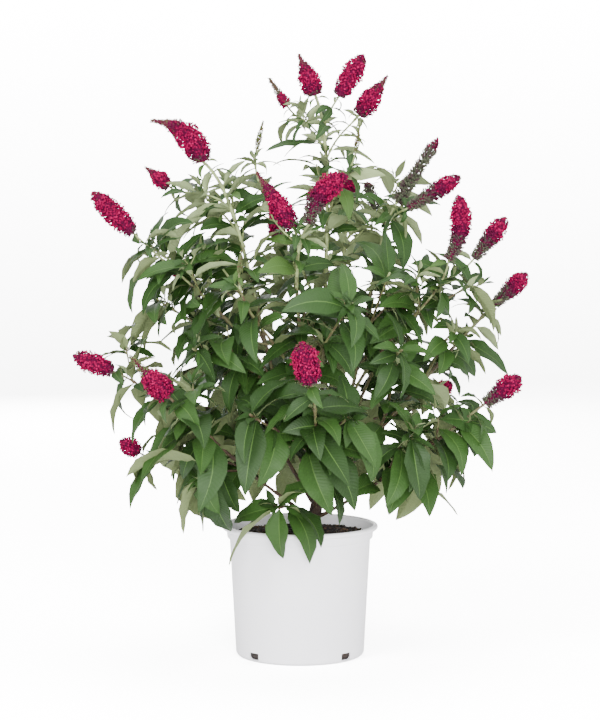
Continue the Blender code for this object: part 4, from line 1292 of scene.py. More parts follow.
def slot_cutter(number):
    """A round-edged box that cuts one drainage slot through the wall at its foot."""
    angle = math.tau * (number + 0.5) / SLOT_COUNT
    out, side = vector(math.cos(angle), math.sin(angle), 0), vector(-math.sin(angle), math.cos(angle), 0)
    turn = turns(SLOT_ROUND)
    half = np.array([SLOT_WIDTH / 2, SLOT_HEIGHT / 2]) - SLOT_RADIUS
    corner = np.stack([np.sign(np.cos(turn + 0.01)), np.sign(np.sin(turn + 0.01))], 1)
    outline = corner * half + SLOT_RADIUS * np.stack([np.cos(turn), np.sin(turn)], 1)
    middle = UP * (SLOT_SILL + SLOT_HEIGHT / 2)
    ends = [middle + out * reach for reach in (FOOT_RADIUS - SLOT_REACH, FOOT_RADIUS + SLOT_REACH)]
    rings = [end + outline[:, :1] * side + outline[:, 1:] * UP for end in ends]
    points, faces = closed(np.stack(rings), ends)
    return piece(f"slot_cutter_{number + 1}", points, faces, [])


def cut(target, cutters):
    """Subtracts the cutters from target by Boolean, applies it, and removes them."""
    for cutter in cutters:
        slot = target.modifiers.new("slot", "BOOLEAN")
        slot.operation = "DIFFERENCE"
        slot.solver = "EXACT"
        slot.object = cutter
    bpy.context.view_layer.update()
    shape = target.evaluated_get(bpy.context.evaluated_depsgraph_get())
    result = bpy.data.meshes.new_from_object(shape)
    target.modifiers.clear()
    target.data = result
    for cutter in cutters:
        bpy.data.objects.remove(cutter)


class BUSH_OT_pot(bpy.types.Operator):
    """Turns the moulded pot: a tapered wall, a stepped collar, a rolled lip and drainage slots"""

    bl_idname = "bush.pot"
    bl_label = "Pot"

    def execute(self, context):
        """The surface is the pot's profile carried round a circle; the slots are cut from it."""
        given = settings(context, "pot")
        points, faces = turned_surface(pot_profile(given.height, given.rim_radius), POT_ROUND)
        pot = piece("pot_shell", points, faces, [mottled(given, *PLASTIC)])
        cut(pot, [slot_cutter(number) for number in range(SLOT_COUNT)])
        pot.data.shade_smooth()
        pot.data.set_sharp_from_angle(angle=SHARP_ABOVE)
        dress(pot, "pot", "pot")
        return {"FINISHED"}


def dress(obj, slot, *nodes):
    """Makes a piece ride with the plant, in place of the frame's nodes; slot is not used."""
    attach(obj, "root")
    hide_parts(*nodes)


# ---------------------------------------------------------------- the soil

SOIL_ROUND = 120
SOIL_RINGS = 46
SOIL_FLAT_SHARE = 0.7
SOIL_FALL = 1.5
# The lumps of the soil: their height and their scale.
SOIL_LUMPS = ((0.0016, 70.0), (0.0009, 230.0))
CHIP_SEED = 5
CHIP_SHAPES = ((0.5, 1.2), (0.25, 0.6), (0.12, 0.3))
CHIP_SIZES = (0.35, 1.25)
CHIP_TILT = (0.45, 0.45, 0.0)
CHIP_SINK = (-0.1, 0.3)
CHIP_ROUGH = 0.16
CHIP_ODDS = (0.5, 0.36, 0.14)
CHIP_FINISHES = (
    ("bark_chip_dark", "dark", 0.9, 0.5),
    ("bark_chip_brown", "brown", 0.88, 0.5),
    ("bark_chip_pale", "pale", 0.9, 0.5),
)


def soil_height(x, y):
    """The soil's level: a low mound that falls to the wall, with coarse and fine lumps."""
    flat = SOIL_PLATEAU * SOIL_FLAT_SHARE
    fall = np.clip((np.hypot(x, y) - flat) / (WALL_TOP_RADIUS - WALL - flat), 0, 1)
    level = SOIL_TOP - (SOIL_TOP - SOIL_EDGE_HEIGHT) * fall**SOIL_FALL
    place = np.stack([x, y, np.zeros_like(x)], -1)
    for seed, (height, scale) in enumerate(SOIL_LUMPS, 1):
        level = level + height * ripple(place, scale, seed)
    return level


# How the soil's rings crowd towards its edge, and its side: the height of each ring and how far it stands
# back from the wall.
SOIL_RING_POWER = 0.85
SOIL_SIDE = ((FLOOR + GAP, 0.007), (FLOOR + 0.008, GAP), (0.060, GAP), (0.150, GAP))


def soil_body(radius):
    """The soil's surface on rings and spokes, closed by a plain side and underside."""
    shares = np.linspace(0, 1, SOIL_RINGS)[1:] ** SOIL_RING_POWER
    angle = turns(SOIL_ROUND)
    x, y = shares[:, None] * radius * np.cos(angle), shares[:, None] * radius * np.sin(angle)
    top = np.stack([x, y, soil_height(x, y)], -1)[::-1]
    low, high = FOOT_CHAMFER, POT_HEIGHT - COLLAR_HEIGHT
    side = []
    for height, back in SOIL_SIDE:
        reach = FOOT_RADIUS + (WALL_TOP_RADIUS - FOOT_RADIUS) * (height - low) / (high - low) - WALL - back
        side.append(np.stack([reach * np.cos(angle), reach * np.sin(angle), 0 * angle + height], -1))
    crest = float(soil_height(np.zeros(1), np.zeros(1))[0])
    return closed(np.concatenate([np.stack(side), top]), [[0, 0, FLOOR + GAP], [0, 0, crest]])


CHIP_OUTLINE = ((-1, -0.6), (0, -1), (1, -0.5), (0.9, 0.7), (-0.1, 1), (-1, 0.5))
CHIP_POINTS = np.array([[x, y, z] for z in (-1, 1) for x, y in CHIP_OUTLINE], float)
CHIP_FACES = [
    grid(2, 6),
    np.array([[0, 5, 4], [0, 4, 3], [0, 3, 2], [0, 2, 1]]),
    np.array([[6, 7, 8], [6, 8, 9], [6, 9, 10], [6, 10, 11]]),
]
CHIP_SPREAD = 0.985
CHIP_SIZE_POWER = 1.3


def chips(given, radius):
    """Six-sided flakes, squashed and turned by seeded numbers, half sunk in the soil."""
    rng = np.random.default_rng(CHIP_SEED)
    count = given.chip_count
    spread = radius * CHIP_SPREAD * np.sqrt(rng.uniform(0, 1, count))
    angle = rng.uniform(0, math.tau, count)
    x, y = spread * np.cos(angle), spread * np.sin(angle)
    stretched = np.stack([rng.uniform(*shape, count) for shape in CHIP_SHAPES], 1)
    up = normals_of(rng.normal(size=(count, 3)) * CHIP_TILT + [0, 0, 1])
    right, ahead = frames_about(up, rng.uniform(0, math.tau, count))
    size = given.chip_length * 0.5 * rng.uniform(*CHIP_SIZES, count) ** CHIP_SIZE_POWER
    height = soil_height(x, y) + size * rng.uniform(*CHIP_SINK, count)
    rough = rng.uniform(-CHIP_ROUGH, CHIP_ROUGH, (count, *CHIP_POINTS.shape))
    shapes = CHIP_POINTS[None] * stretched[:, None] + rough
    points = placed(shapes, np.stack([x, y, height], 1), right, ahead, up, size)
    return copies(points, CHIP_FACES, rng.choice(len(CHIP_ODDS), count, p=CHIP_ODDS)[:, None])


class BUSH_OT_soil(bpy.types.Operator):
    """Fills the pot with lumpy soil and strews bark chips over it"""

    bl_idname = "bush.soil"
    bl_label = "Soil"

    def execute(self, context):
        """The soil is a surface of rings and spokes; the chips are copies of one flake."""
        given = settings(context, "soil")
        radius = WALL_TOP_RADIUS - WALL - GAP
        points, faces = soil_body(radius)
        dress(piece("soil_body", points, faces, [mottled(given, *PEAT)]), "soil", "soil")
        points, faces, pick = chips(given, radius)
        flakes = piece("soil_chips", points, faces, plain(CHIP_FINISHES, given), pick, smooth=False)
        dress(flakes, "soil", "soil")
        return {"FINISHED"}


# ---------------------------------------------------------------- the trunk and the boughs

TRUNK_ROUND = 64
TRUNK_RINGS = 84
BOUGH_ROUND = 16
BOUGH_RINGS = 46
BOUGH_PLACE_RADIUS = 0.004
BOUGH_END = 0.004
BOUGH_RELIEF = 0.6
# How a trunk sways off its axis, and the five lobes of its foot.
TRUNK_SWAY = (0.0016, -0.0012)
TRUNK_IN = 0.97
LOBE_COUNT = 5
LOBE_DEPTH = 0.10
LOBE_FADE = 9
# A bough's collar where it leaves the trunk, and the rings left by its buds.
BOUGH_COLLAR = 0.45
BOUGH_COLLAR_LENGTH = 0.012
BUD_RING = 0.0004
BUD_RING_EVERY = 0.041
BUD_RING_SPREAD = 5e-6
# Bark: how far its furrows are drawn out, their scale, depth, edge and level, and a finer grain over them.
FURROW_STRETCH = 0.22
FURROW_SCALE = 420.0
FURROW_DEPTH = 1.5
FURROW_EDGE = 0.55
FURROW_LEVEL = 0.12
GRAIN_SCALE = 900.0
GRAIN = 0.35


def fissures(place, relief, seed):
    """Bark relief about 1: sharp furrows where a wave drawn out along the limb crosses zero."""
    drawn = place * np.array([1.0, 1.0, FURROW_STRETCH])
    ridge = 1 - np.abs(ripple(drawn, FURROW_SCALE, seed))
    furrow = np.clip(ridge - FURROW_EDGE, 0, 1) * FURROW_DEPTH
    return 1 + relief * (GRAIN * ripple(drawn, GRAIN_SCALE, seed + 1) - furrow + FURROW_LEVEL)


def trunk_mesh(relief):
    """The trunk: a tube up its axis, flared at the foot, with fissured bark over five shallow lobes."""
    level = np.linspace(0, 1, TRUNK_RINGS)
    path = np.array([trunk_axis(share) for share in level])
    path[:, :2] += (np.sin(level * math.pi)[:, None] ** 2) * TRUNK_SWAY
    radii = mix((TRUNK_RADIUS, TRUNK_FORK_RADIUS), level) + ROOT_FLARE * np.exp(-level * FLARE_FADE)
    angle = turns(TRUNK_ROUND)
    lobes = 1 + LOBE_DEPTH * np.exp(-level * LOBE_FADE)[:, None] * np.sin(angle * LOBE_COUNT + 0.6)[None]
    bark = fissures(bark_places(path[:, 2], TRUNK_ROUND, TRUNK_RADIUS), relief, 3)
    points, faces = tubes(path, radii * TRUNK_IN, TRUNK_ROUND, bark * lobes)
    points[:, 2] = np.maximum(points[:, 2], TRUNK_FOOT[2])
    return points, faces


def bark_places(run, sides, radius):
    """Places on a straight limb, a ring of them for each length in run, to take its bark's relief from."""
    x, y = radius * np.cos(turns(sides)), radius * np.sin(turns(sides))
    return np.stack(np.broadcast_arrays(x[None], y[None], run[:, None]), -1)


def bough_mesh(shoot, relief, seed):
    """One bare bough: a tube along its stem's route with a collar at its foot and rings left by buds."""
    stem = stem_route(shoot)
    shares = np.linspace(BOUGH_END, shoot.bare + BOUGH_END, BOUGH_RINGS)
    route = stretch(stem, shares[0], shares[-1], BOUGH_RINGS)
    run = lengths(route)
    limb = np.array([stem_radius(shoot, share) for share in shares])
    limb = limb * (1 + BOUGH_COLLAR * np.exp(-run / BOUGH_COLLAR_LENGTH))
    limb = limb + BUD_RING * np.exp(-((run % BUD_RING_EVERY - 0.02) ** 2) / BUD_RING_SPREAD)
    bark = fissures(bark_places(run, BOUGH_ROUND, BOUGH_PLACE_RADIUS), relief, seed)
    return tubes(route, limb, BOUGH_ROUND, bark)


class BUSH_OT_wood(bpy.types.Operator):
    """Sweeps the trunk with its root flare and fissured bark, and the bare boughs that leave it"""

    bl_idname = "bush.wood"
    bl_label = "Trunk and boughs"

    def execute(self, context):
        """Each limb is a tube along its own route, its radius changed by a grid of relief."""
        given = settings(context, "wood")
        points, faces = trunk_mesh(given.bark_relief)
        dress(piece("trunk_bark", points, faces, [mottled(given, *TRUNK_BARK)]), "stems", "trunk")
        joined = Batch()
        for number, shoot in enumerate(SHOOTS):
            joined.add(*bough_mesh(shoot, given.bark_relief * BOUGH_RELIEF, 10 + number))
        boughs = joined.build("boughs_bark", [mottled(given, *BOUGH_BARK)])
        dress(boughs, "stems", *[f"bough_{shoot.name}" for shoot in SHOOTS])
        return {"FINISHED"}


# ---------------------------------------------------------------- the leafy stems

WOODY_BELOW = 0.42
OLIVE_BELOW = 0.66
HEIGHT_SPRAY = 0.03
STEM_SPACING = 0.005
STEM_LOOKS = 160
# A knuckle at a node: how much it swells, over what length, and how near a leaf's root has to be.
KNUCKLE = 0.42
KNUCKLE_LENGTH = 0.0032
KNUCKLE_NEAR = 0.003
# Where a stem's radius goes from and to: a stem as a share of the rule's own, the others of TWIG_RADIUS.
STEM_SWELL = (1.0, 1.7)
BRANCH_TIP = 1.35
TWIG_TAPER = (1.3, 0.9)
SPRIG_RADII = (0.0011, 0.0007)
STEM_SIDES = 8
BRANCH_SIDES = 7
TWIG_SIDES = 6
SPRIG_SIDES = 5
SHOOT_SEED = 21
LAST_SHARE = 0.9999


def points_on(path, shares):
    """The points at shares of path's length."""
    return np.array([point_at(path, min(share, LAST_SHARE))[0] for share in shares])


def knuckled(path, radius_at, nodes, sides, steps):
    """A tube that swells a little at each node and tapers as radius_at says."""
    shares = np.linspace(0, 1, steps)
    radii = np.array([radius_at(share) for share in shares])
    total = lengths(path)[-1]
    for share in nodes:
        radii = radii * (1 + KNUCKLE * np.exp(-(((shares - share) * total / KNUCKLE_LENGTH) ** 2)))
    return tubes(points_on(path, shares), radii, sides)


def stem_tints(faces, points, rng):
    """Reddish-brown low down, olive higher and sage at the top, the changes dealt out by spray."""
    tints = []
    for face in faces:
        height = points[face].mean(1)[:, 2] + rng.normal(0, HEIGHT_SPRAY, len(face))
        tints.append(np.where(height < WOODY_BELOW, 0, np.where(height < OLIVE_BELOW, 1, 2)))
    return np.concatenate(tints)


class BUSH_OT_shoots(bpy.types.Operator):
    """Sweeps every leafy stem, side branch, twig and sprig as a tapering tube with swollen nodes"""

    bl_idname = "bush.shoots"
    bl_label = "Stems and twigs"

    def execute(self, context):
        """The routes are the growth rule's own; the thinnest sprigs are carried a step finer."""
        given = settings(context, "wood")
        rng = np.random.default_rng(SHOOT_SEED)
        joined = Batch()
        _, growths = crown_and_growths()
        for shoot, growth in zip(SHOOTS, growths):
            add_mass(joined, shoot, growth, rng)
        for sprig in sprigs(settings(context, "leaf").sprig_chance):
            if sprig.leaves:
                points, faces = tubes(sprig.route, np.linspace(*SPRIG_RADII, SPRIG_POINTS), SPRIG_SIDES)
                joined.add(points, faces, stem_tints(faces, points, rng))
        finishes = [mottled(given, *row) for row in STEM_BARKS]
        dress(joined.build("shoots", finishes), "stems", *foliage_nodes())
        return {"FINISHED"}


def add_mass(joined, shoot, growth, rng):
    """Adds one mass's stem, branches and twigs to the batch, each with its own taper."""
    roots = np.array([leaf.root for leaf in growth.leaves])
    leafy = stretch(growth.stem, shoot.bare + 0.003, 1.0, STEM_POINTS * 2)

    def stem(share):
        return stem_radius(shoot, mix((shoot.bare, 1.0), share)) * mix(STEM_SWELL, share)

    add_shoot(joined, leafy, roots, rng, stem, STEM_SIDES)
    for branch, head in zip(growth.branches, shoot.heads[1:]):
        taper = (stem_radius(shoot, head.forks_at), TWIG_RADIUS * BRANCH_TIP)
        add_shoot(joined, branch, roots, rng, lambda share: mix(taper, share), BRANCH_SIDES)
    for twig in growth.twigs:
        add_shoot(joined, twig, roots, rng, lambda share: mix(TWIG_TAPER, share) * TWIG_RADIUS, TWIG_SIDES)


def foliage_nodes():
    """The frame's names for the masses of foliage."""
    return [f"foliage_{shoot.name}" for shoot in SHOOTS]


def add_shoot(joined, path, roots, rng, radius_at, sides):
    """Adds one stem to the batch, with a knuckle wherever a leaf's root lies on it."""
    steps = max(8, int(lengths(path)[-1] / STEM_SPACING))
    shares = np.linspace(0, 1, STEM_LOOKS)
    gaps = np.linalg.norm(roots[:, None] - points_on(path, shares)[None], axis=2)
    near = gaps.min(1) < KNUCKLE_NEAR
    nodes = np.unique(np.round(shares[gaps[near].argmin(1)], 2))
    points, faces = knuckled(path, radius_at, nodes, sides, steps)
    joined.add(points, faces, stem_tints(faces, points, rng))


# ---------------------------------------------------------------- leaves

# Shares along a blade at which it has a ring.
LARGE_STATIONS = np.array([0.0, 0.05, 0.12, 0.22, 0.35, 0.49, 0.63, 0.77, 0.89, 0.965])
SMALL_STATIONS = np.array([0.0, 0.07, 0.25, 0.48, 0.72, 0.92])
# A ring's places across the blade, from -1 to 1 at the margins, and for each whether it is on the margin (0),
# on the upper side (1) or on the underside (-1).
LARGE_RING = (
    np.array([-1, -0.55, -0.04, 0.04, 0.55, 1, 0.55, 0.04, -0.04, -0.55]),
    np.array([0, 1, 1, 1, 1, 0, -1, -1, -1, -1]),
)
SMALL_RING = (np.array([-1, 0, 1, 0]), np.array([0, 1, 0, -1]))
STALK_END = 0.035
OUTLINE_PEAK = 0.405
LEAF_SEED = 31
LEAF_SHARP_ABOVE = math.radians(70)
RIB_HALF_WIDTH = 0.1
# How blades differ: the deviations of the twist along the blade, of its set (low and high on the bush) and
# of its sway, and the ranges of curl, width, fold and waves.
TWIST = 0.30
SET_TWIST = (0.10, 0.42)
SWAY = 0.045
CURL = (-0.015, 0.07)
CURL_FROM = 0.6
WIDTH_SPREAD = (0.86, 1.12)
FOLD = (0.20, 0.50)
WAVE_COUNT = (2.2, 3.6)
WAVE_DEPTH = 0.11
MARGIN_DROP = 0.10
YOUNG_BEND = 0.45
YOUNG_NARROWER = 0.36
RIB_BELOW = 1.8
RIB_ABOVE = 0.15
# Above TOP_FROM the leaves shorten over TOP_SPAN, by TOP_SHORTER of their length.
TOP_FROM = 0.84
TOP_SPAN = 0.14
TOP_SHORTER = 0.30
# The outline's fullness past its widest point and before it, and the least half width short of the tip.
TIP_POWERS = (0.92, 0.55)
STALK_POWER = 0.85
LEAST_HALF_WIDTH = 0.0009
TIP_CLOSING = 40
CURL_RATE = 6
# The fold starts at the first share and loses the second on its way to the tip. The two margins wave apart by
# an angle.
FOLD_EASE = (1.15, 0.5)
WAVE_APART = 1.9
# The length at which a blade has its full thickness, and the least and the most share of it.
FULL_LENGTH = 0.09
THICKNESS_SHARES = (0.55, 1.1)
TAIL_LENGTH = 0.001


def half_width(share):
    """The blade's outline, 1 at its widest: a lance with a drawn-out tip and a narrow stalk."""
    inner = np.clip((share - STALK_END) / (OUTLINE_PEAK - STALK_END), 0, 1)
    outer = np.clip((1 - share) / (1 - OUTLINE_PEAK), 0, 1)
    toward_tip = outer ** TIP_POWERS[0] * (2 - outer) ** TIP_POWERS[1]
    return np.where(share < OUTLINE_PEAK, np.sin(inner * math.pi / 2) ** STALK_POWER, toward_tip)


def blades(leaves, stations, ring, width_share, thickness, seed):
    """Closed blades, one for each leaf.

    A blade's middle runs along the leaf's arc. Each half rises from the midrib by the fold, its margin
    waves up and down, the tip curls on past the arc and the whole blade twists about its midrib.
    """
    t, layer = ring
    rng = np.random.default_rng(seed)
    one = (len(leaves), 1)
    arrows = [(leaf.root, leaf.along, leaf.belly) for leaf in leaves]
    root, along, belly = np.array(arrows).swapaxes(0, 1)
    length, bend = np.array([(leaf.length, leaf.bend) for leaf in leaves]).T[..., None]
    age = np.array([[youth(place)] for place in root])
    length = length * (1 - TOP_SHORTER * np.clip((root[:, 2:] - TOP_FROM) / TOP_SPAN, 0, 1))
    share = stations[None, :]
    bend = bend * (1 + YOUNG_BEND * age)
    arc = bend * share
    middle = root[:, None] + (length / bend * np.sin(arc))[..., None] * along[:, None]
    middle = middle + (length / bend * (1 - np.cos(arc)))[..., None] * belly[:, None]
    face = np.sin(arc)[..., None] * along[:, None] - np.cos(arc)[..., None] * belly[:, None]
    side = np.cross(along, belly)[:, None]
    twist = rng.normal(0, TWIST, one) * share + rng.normal(0, 1, one) * mix(SET_TWIST, age)
    spread = side * np.cos(twist)[..., None] + face * np.sin(twist)[..., None]
    lift = face * np.cos(twist)[..., None] - side * np.sin(twist)[..., None]
    sway = rng.normal(0, SWAY, one) * length * np.sin(share * math.pi)
    curl = rng.uniform(*CURL, one) * length * np.clip(share - CURL_FROM, 0, 1) ** 2 * CURL_RATE
    middle = middle + side * sway[..., None] - lift * curl[..., None]
    wide = length * width_share / 2 * (1 - YOUNG_NARROWER * age) * rng.uniform(*WIDTH_SPREAD, one)
    least = LEAST_HALF_WIDTH * np.clip((1 - share) * TIP_CLOSING, 0, 1)
    wide = np.maximum(wide * half_width(share), least)[..., None]
    fold = rng.uniform(*FOLD, one) * np.clip(FOLD_EASE[0] - share * FOLD_EASE[1], 0, 1)
    waves = rng.uniform(*WAVE_COUNT, one) * share * math.tau + rng.uniform(0, math.tau, one)
    rise = np.tan(fold)[..., None] * np.abs(t) * wide
    rise = rise + WAVE_DEPTH * wide * t**2 * np.sin(waves[..., None] + WAVE_APART * np.sign(t))
    rise = rise - MARGIN_DROP * wide * t**4
    half = thickness / 2 * np.clip(length / FULL_LENGTH, *THICKNESS_SHARES)[..., None]
    in_rib = np.abs(t) < RIB_HALF_WIDTH
    rise = rise + layer * half * np.where(in_rib, np.where(layer < 0, RIB_BELOW, RIB_ABOVE), 1.0)
    points = middle[:, :, None] + spread[:, :, None] * (wide * t)[..., None]
    points = points + lift[:, :, None] * rise[..., None]
    past_end = (1 - stations[-1]) / (stations[-1] - stations[-2])
    tip = middle[:, -1] + (middle[:, -1] - middle[:, -2]) * past_end
    tail = middle[:, 0] - along * TAIL_LENGTH
    flat = np.concatenate([points.reshape(len(leaves), -1, 3), tail[:, None], tip[:, None]], 1)
    uv = np.stack(np.broadcast_arrays((t[None] + 1) / 2, stations[:, None]), -1).reshape(-1, 2)
    return flat, np.tile(np.vstack([uv, [[0.5, 0], [0.5, 1]]]), (len(leaves), 1))


def blade_faces(stations, ring):
    """The triangles of one blade, and for each whether it is midrib (0), upper side (1) or underside (2).

    The upper side and the underside are split along the same diagonals, so neither shows through the other.
    """
    places, layer = ring
    rows, columns = len(stations), len(places)
    total = rows * columns
    quads = grid(rows, columns)
    after = np.roll(np.arange(columns), -1)
    below = (layer < 0) | (layer[after] < 0)
    middle = np.maximum(np.abs(places), np.abs(places[after])) < RIB_HALF_WIDTH
    kind = np.where(below, 2, np.where(middle & (columns > 4), 0, 1))
    under = np.tile(below, rows - 1)
    top, bottom = quads[~under], quads[under]
    faces = [
        top[:, [0, 2, 1]],
        top[:, [0, 3, 2]],
        bottom[:, [0, 3, 1]],
        bottom[:, [1, 3, 2]],
        fan(total, 0, columns),
        fan(total + 1, total - columns, columns, False),
    ]
    upper = np.tile(kind, rows - 1)[~under]
    lower = np.full(len(bottom), 2)
    return faces, [upper, upper, lower, lower, kind, kind]


# The leaves' finishes: name, setting, roughness, shine and how deep the veins are pressed in.
RIB, OLD, OLD_LIGHT, FULL, YOUNG, UNDER, UNDER_YOUNG = range(7)
BLADE_FINISHES = (
    ("leaf_old", "old", 0.55, 0.22, 0.35),
    ("leaf_old_light", "old_light", 0.55, 0.22, 0.35),
    ("leaf_full", "full", 0.55, 0.22, 0.35),
    ("leaf_young", "young", 0.6, 0.2, 0.35),
    ("leaf_under", "under", 0.8, 0.1, 0.6),
    ("leaf_under_young", "under_young", 0.85, 0.1, 0.6),
)
AGE_SPRAY = 0.16
SMALL_LEAF = 0.055
SMALL_LEAF_YOUNGER = 0.25
LIGHT_SHARE = 0.35
OLD_UNTIL = 0.35
FULL_UNTIL = 0.95
UNDER_SPRAY = 0.25
UNDER_YOUNG_FROM = 0.7


def leaf_tints(leaves, rng):
    """Each leaf's finishes for midrib, upper side and underside, by its age, the borders dealt by spray."""
    count = len(leaves)
    age = np.array([youth(leaf.root) for leaf in leaves]) + rng.normal(0, AGE_SPRAY, count)
    age = age + np.array([SMALL_LEAF_YOUNGER if leaf.length < SMALL_LEAF else 0.0 for leaf in leaves])
    light = rng.uniform(0, 1, count) < LIGHT_SHARE
    plain_tint = np.where(age < OLD_UNTIL, OLD, FULL)
    light_tint = np.where(age < FULL_UNTIL, OLD_LIGHT, YOUNG)
    under = np.where(age + rng.normal(0, UNDER_SPRAY, count) < UNDER_YOUNG_FROM, UNDER, UNDER_YOUNG)
    return np.stack([np.full(count, RIB), np.where(light, light_tint, plain_tint), under], 1)


def clear_of_heads(leaves):
    """The leaves, those that reach close to a flower head made shorter."""
    heads, kept = head_balls(), []
    for leaf in leaves:
        if nearest(leaf_outline(leaf), heads).min() < HEAD_ROOM:
            leaf = leaf._replace(length=leaf.length * HEAD_ROOM_SHARE)
        kept.append(leaf)
    return kept


class BUSH_OT_leaves(bpy.types.Operator):
    """Grows every leaf as a thin folded blade with a midrib and wavy margins"""

    bl_idname = "bush.leaves"
    bl_label = "Leaves"

    def execute(self, context):
        """The large leaves are the growth rule's own; small ones stand on sprigs in their axils."""
        given = settings(context, "leaf")
        _, growths = crown_and_growths()
        large = clear_of_heads([leaf for growth in growths for leaf in growth.leaves] + infill())
        large = sorted(large + head_leaves(), key=lambda leaf: leaf.root[2])
        small = [leaf for sprig in sprigs(given.sprig_chance) for leaf in sprig.leaves]
        finishes = plain([("midrib", "rib", 0.5, 0.2)], given)
        finishes += [blade_finish(name, getattr(given, key), *rest) for name, key, *rest in BLADE_FINISHES]
        third = len(large) // 3
        groups = (
            ("leaves_lower", large[:third], LARGE_STATIONS, LARGE_RING),
            ("leaves_middle", large[third : 2 * third], LARGE_STATIONS, LARGE_RING),
            ("leaves_upper", large[2 * third :], LARGE_STATIONS, LARGE_RING),
            ("leaves_small", small, SMALL_STATIONS, SMALL_RING),
        )
        for number, (name, leaves, stations, ring) in enumerate(groups):
            seed = LEAF_SEED + number
            flat, uv = blades(leaves, stations, ring, given.width_share, given.thickness, seed + 10)
            faces, kinds = blade_faces(stations, ring)
            table = leaf_tints(leaves, np.random.default_rng(seed))
            points, faces, pick = copies(flat, faces, table, kinds)
            obj = piece(name, points, faces, finishes, pick, uv)
            obj.data.set_sharp_from_angle(angle=LEAF_SHARP_ABOVE)
            dress(obj, "foliage", *foliage_nodes())
        return {"FINISHED"}


# ---------------------------------------------------------------- blossom

PETAL_ROUND = 8
GOLDEN_ANGLE = math.pi * (3 - math.sqrt(5))
BLOSSOM_SEED = 57
# One kind of floret is a painted highlight, a lighter copy of the open florets' colour.
BRIGHT, PAINTED_HIGHLIGHT, DEEP, SPENT, HUSK, BUD, BUD_GREEN = range(7)

# For each stage, the kinds of floret up the head: up to which share of it, and how likely each kind is.
# The painted highlight tint is dealt out among the open florets by these odds.
HEAD_STORIES = {
    "fresh": (
        (0.08, ((DEEP, 0.5), (SPENT, 0.3), (BUD_GREEN, 0.2))),
        (0.26, ((BRIGHT, 0.4), (PAINTED_HIGHLIGHT, 0.1), (DEEP, 0.5))),
        (0.60, ((BRIGHT, 0.55), (PAINTED_HIGHLIGHT, 0.3), (DEEP, 0.15))),
        (0.76, ((BRIGHT, 0.2), (DEEP, 0.5), (BUD, 0.3))),
        (1.01, ((BUD, 0.7), (DEEP, 0.2), (BUD_GREEN, 0.1))),
    ),
    "full": (
        (0.10, ((DEEP, 0.6), (SPENT, 0.4))),
        (0.28, ((BRIGHT, 0.4), (PAINTED_HIGHLIGHT, 0.1), (DEEP, 0.5))),
        (0.84, ((BRIGHT, 0.55), (PAINTED_HIGHLIGHT, 0.3), (DEEP, 0.15))),
        (1.01, ((BRIGHT, 0.3), (DEEP, 0.4), (BUD, 0.3))),
    ),
    "opening": (
        (0.20, ((DEEP, 0.4), (BRIGHT, 0.6))),
        (0.56, ((BRIGHT, 0.6), (PAINTED_HIGHLIGHT, 0.3), (DEEP, 0.1))),
        (1.01, ((BUD_GREEN, 0.8), (BUD, 0.2))),
    ),
    "ripe": (
        (0.22, ((HUSK, 0.6), (SPENT, 0.4))),
        (0.38, ((SPENT, 0.6), (DEEP, 0.3), (HUSK, 0.1))),
        (0.52, ((BRIGHT, 0.3), (DEEP, 0.7))),
        (0.90, ((BRIGHT, 0.55), (PAINTED_HIGHLIGHT, 0.3), (DEEP, 0.15))),
        (1.01, ((BRIGHT, 0.3), (DEEP, 0.4), (BUD, 0.3))),
    ),
    "fading": (
        (0.46, ((DEEP, 0.3), (BRIGHT, 0.5), (BUD, 0.2))),
        (1.01, ((BUD, 0.75), (HUSK, 0.25))),
    ),
    "spent": (
        (0.84, ((HUSK, 0.6), (SPENT, 0.4))),
        (1.01, ((DEEP, 0.4), (BRIGHT, 0.3), (SPENT, 0.3))),
    ),
    "bud": ((1.01, ((BUD_GREEN, 0.8), (BUD, 0.2))),),
}


# A slim ripe head has dried further up: below which width, and by how much of its length for each metre.
DRIED_BELOW = 0.038
DRIED_RATE = 30.0
# How close florets stand, by how much they stray along, round and out of the head, how far they lean towards
# its tip at its foot and how much more at its tip, and how they differ in size and reach.
HEAD_TIP = 0.14
HEAD_STEPS = 200
HEAD_AXIS_POINTS = 60
TIP_ROOM = 0.12
STRAY_ALONG = 0.008
STRAY_ROUND = 0.12
STRAY_OUT = 0.20
LEAN = 0.10
TIP_LEAN = 0.95
MOST_LEAN = 1.2
MOST_DRIED = 0.2
DRIED_UP_TO = 0.6
HEAD_FILL = 0.72
SPENT_FILL = 0.85
BUD_SPACING = 0.0026
FEWEST_FLORETS = 26
FLORET_SIZES = (0.75, 1.2)
FLORET_DEPTH = (0.70, 1.12)
FAR_FLORET = 0.12
FAR_SHARE = 0.18
HUSK_SIZE = 1.15
BUD_SIZE = 0.80
BUD_HEAD_SIZE = 1.1


# Blossom finishes: name, setting, roughness and shine.
FLORET_FINISHES = (
    ("floret_bright", "bright", 0.6, 0.05),
    # The next row is the painted highlight: open florets drawn lighter as if they catch the light.
    ("floret_painted_highlight", "painted_highlight", 0.6, 0.05),
    ("floret_deep", "deep", 0.6, 0.05),
    ("floret_spent", "spent", 0.8, 0.1),
    ("husk", "husk", 0.85, 0.1),
    ("bud", "bud", 0.7, 0.1),
    ("bud_green", "bud_green", 0.75, 0.1),
)
CORE_FINISHES = (
    ("core_dark", "deep", 0.9, 0.05),
    ("core_green", "bud_green", 0.9, 0.05),
    ("core_grey", "husk", 0.9, 0.05),
)


# A floret in petal lengths: the notch between petals, the lift of notches and of petals, the throat's depth
# and the tube's length. A bud by the radii and heights above its stalk.
PETAL_NOTCH = 0.46
PETAL_LIFT = (-0.10, 0.12)
THROAT = 0.30
TUBE = 2.4
BUD_OUTLINE = ((0.42, -0.3), (0.46, 0.5), (0, 1.1))
BUD_SIDES = 4


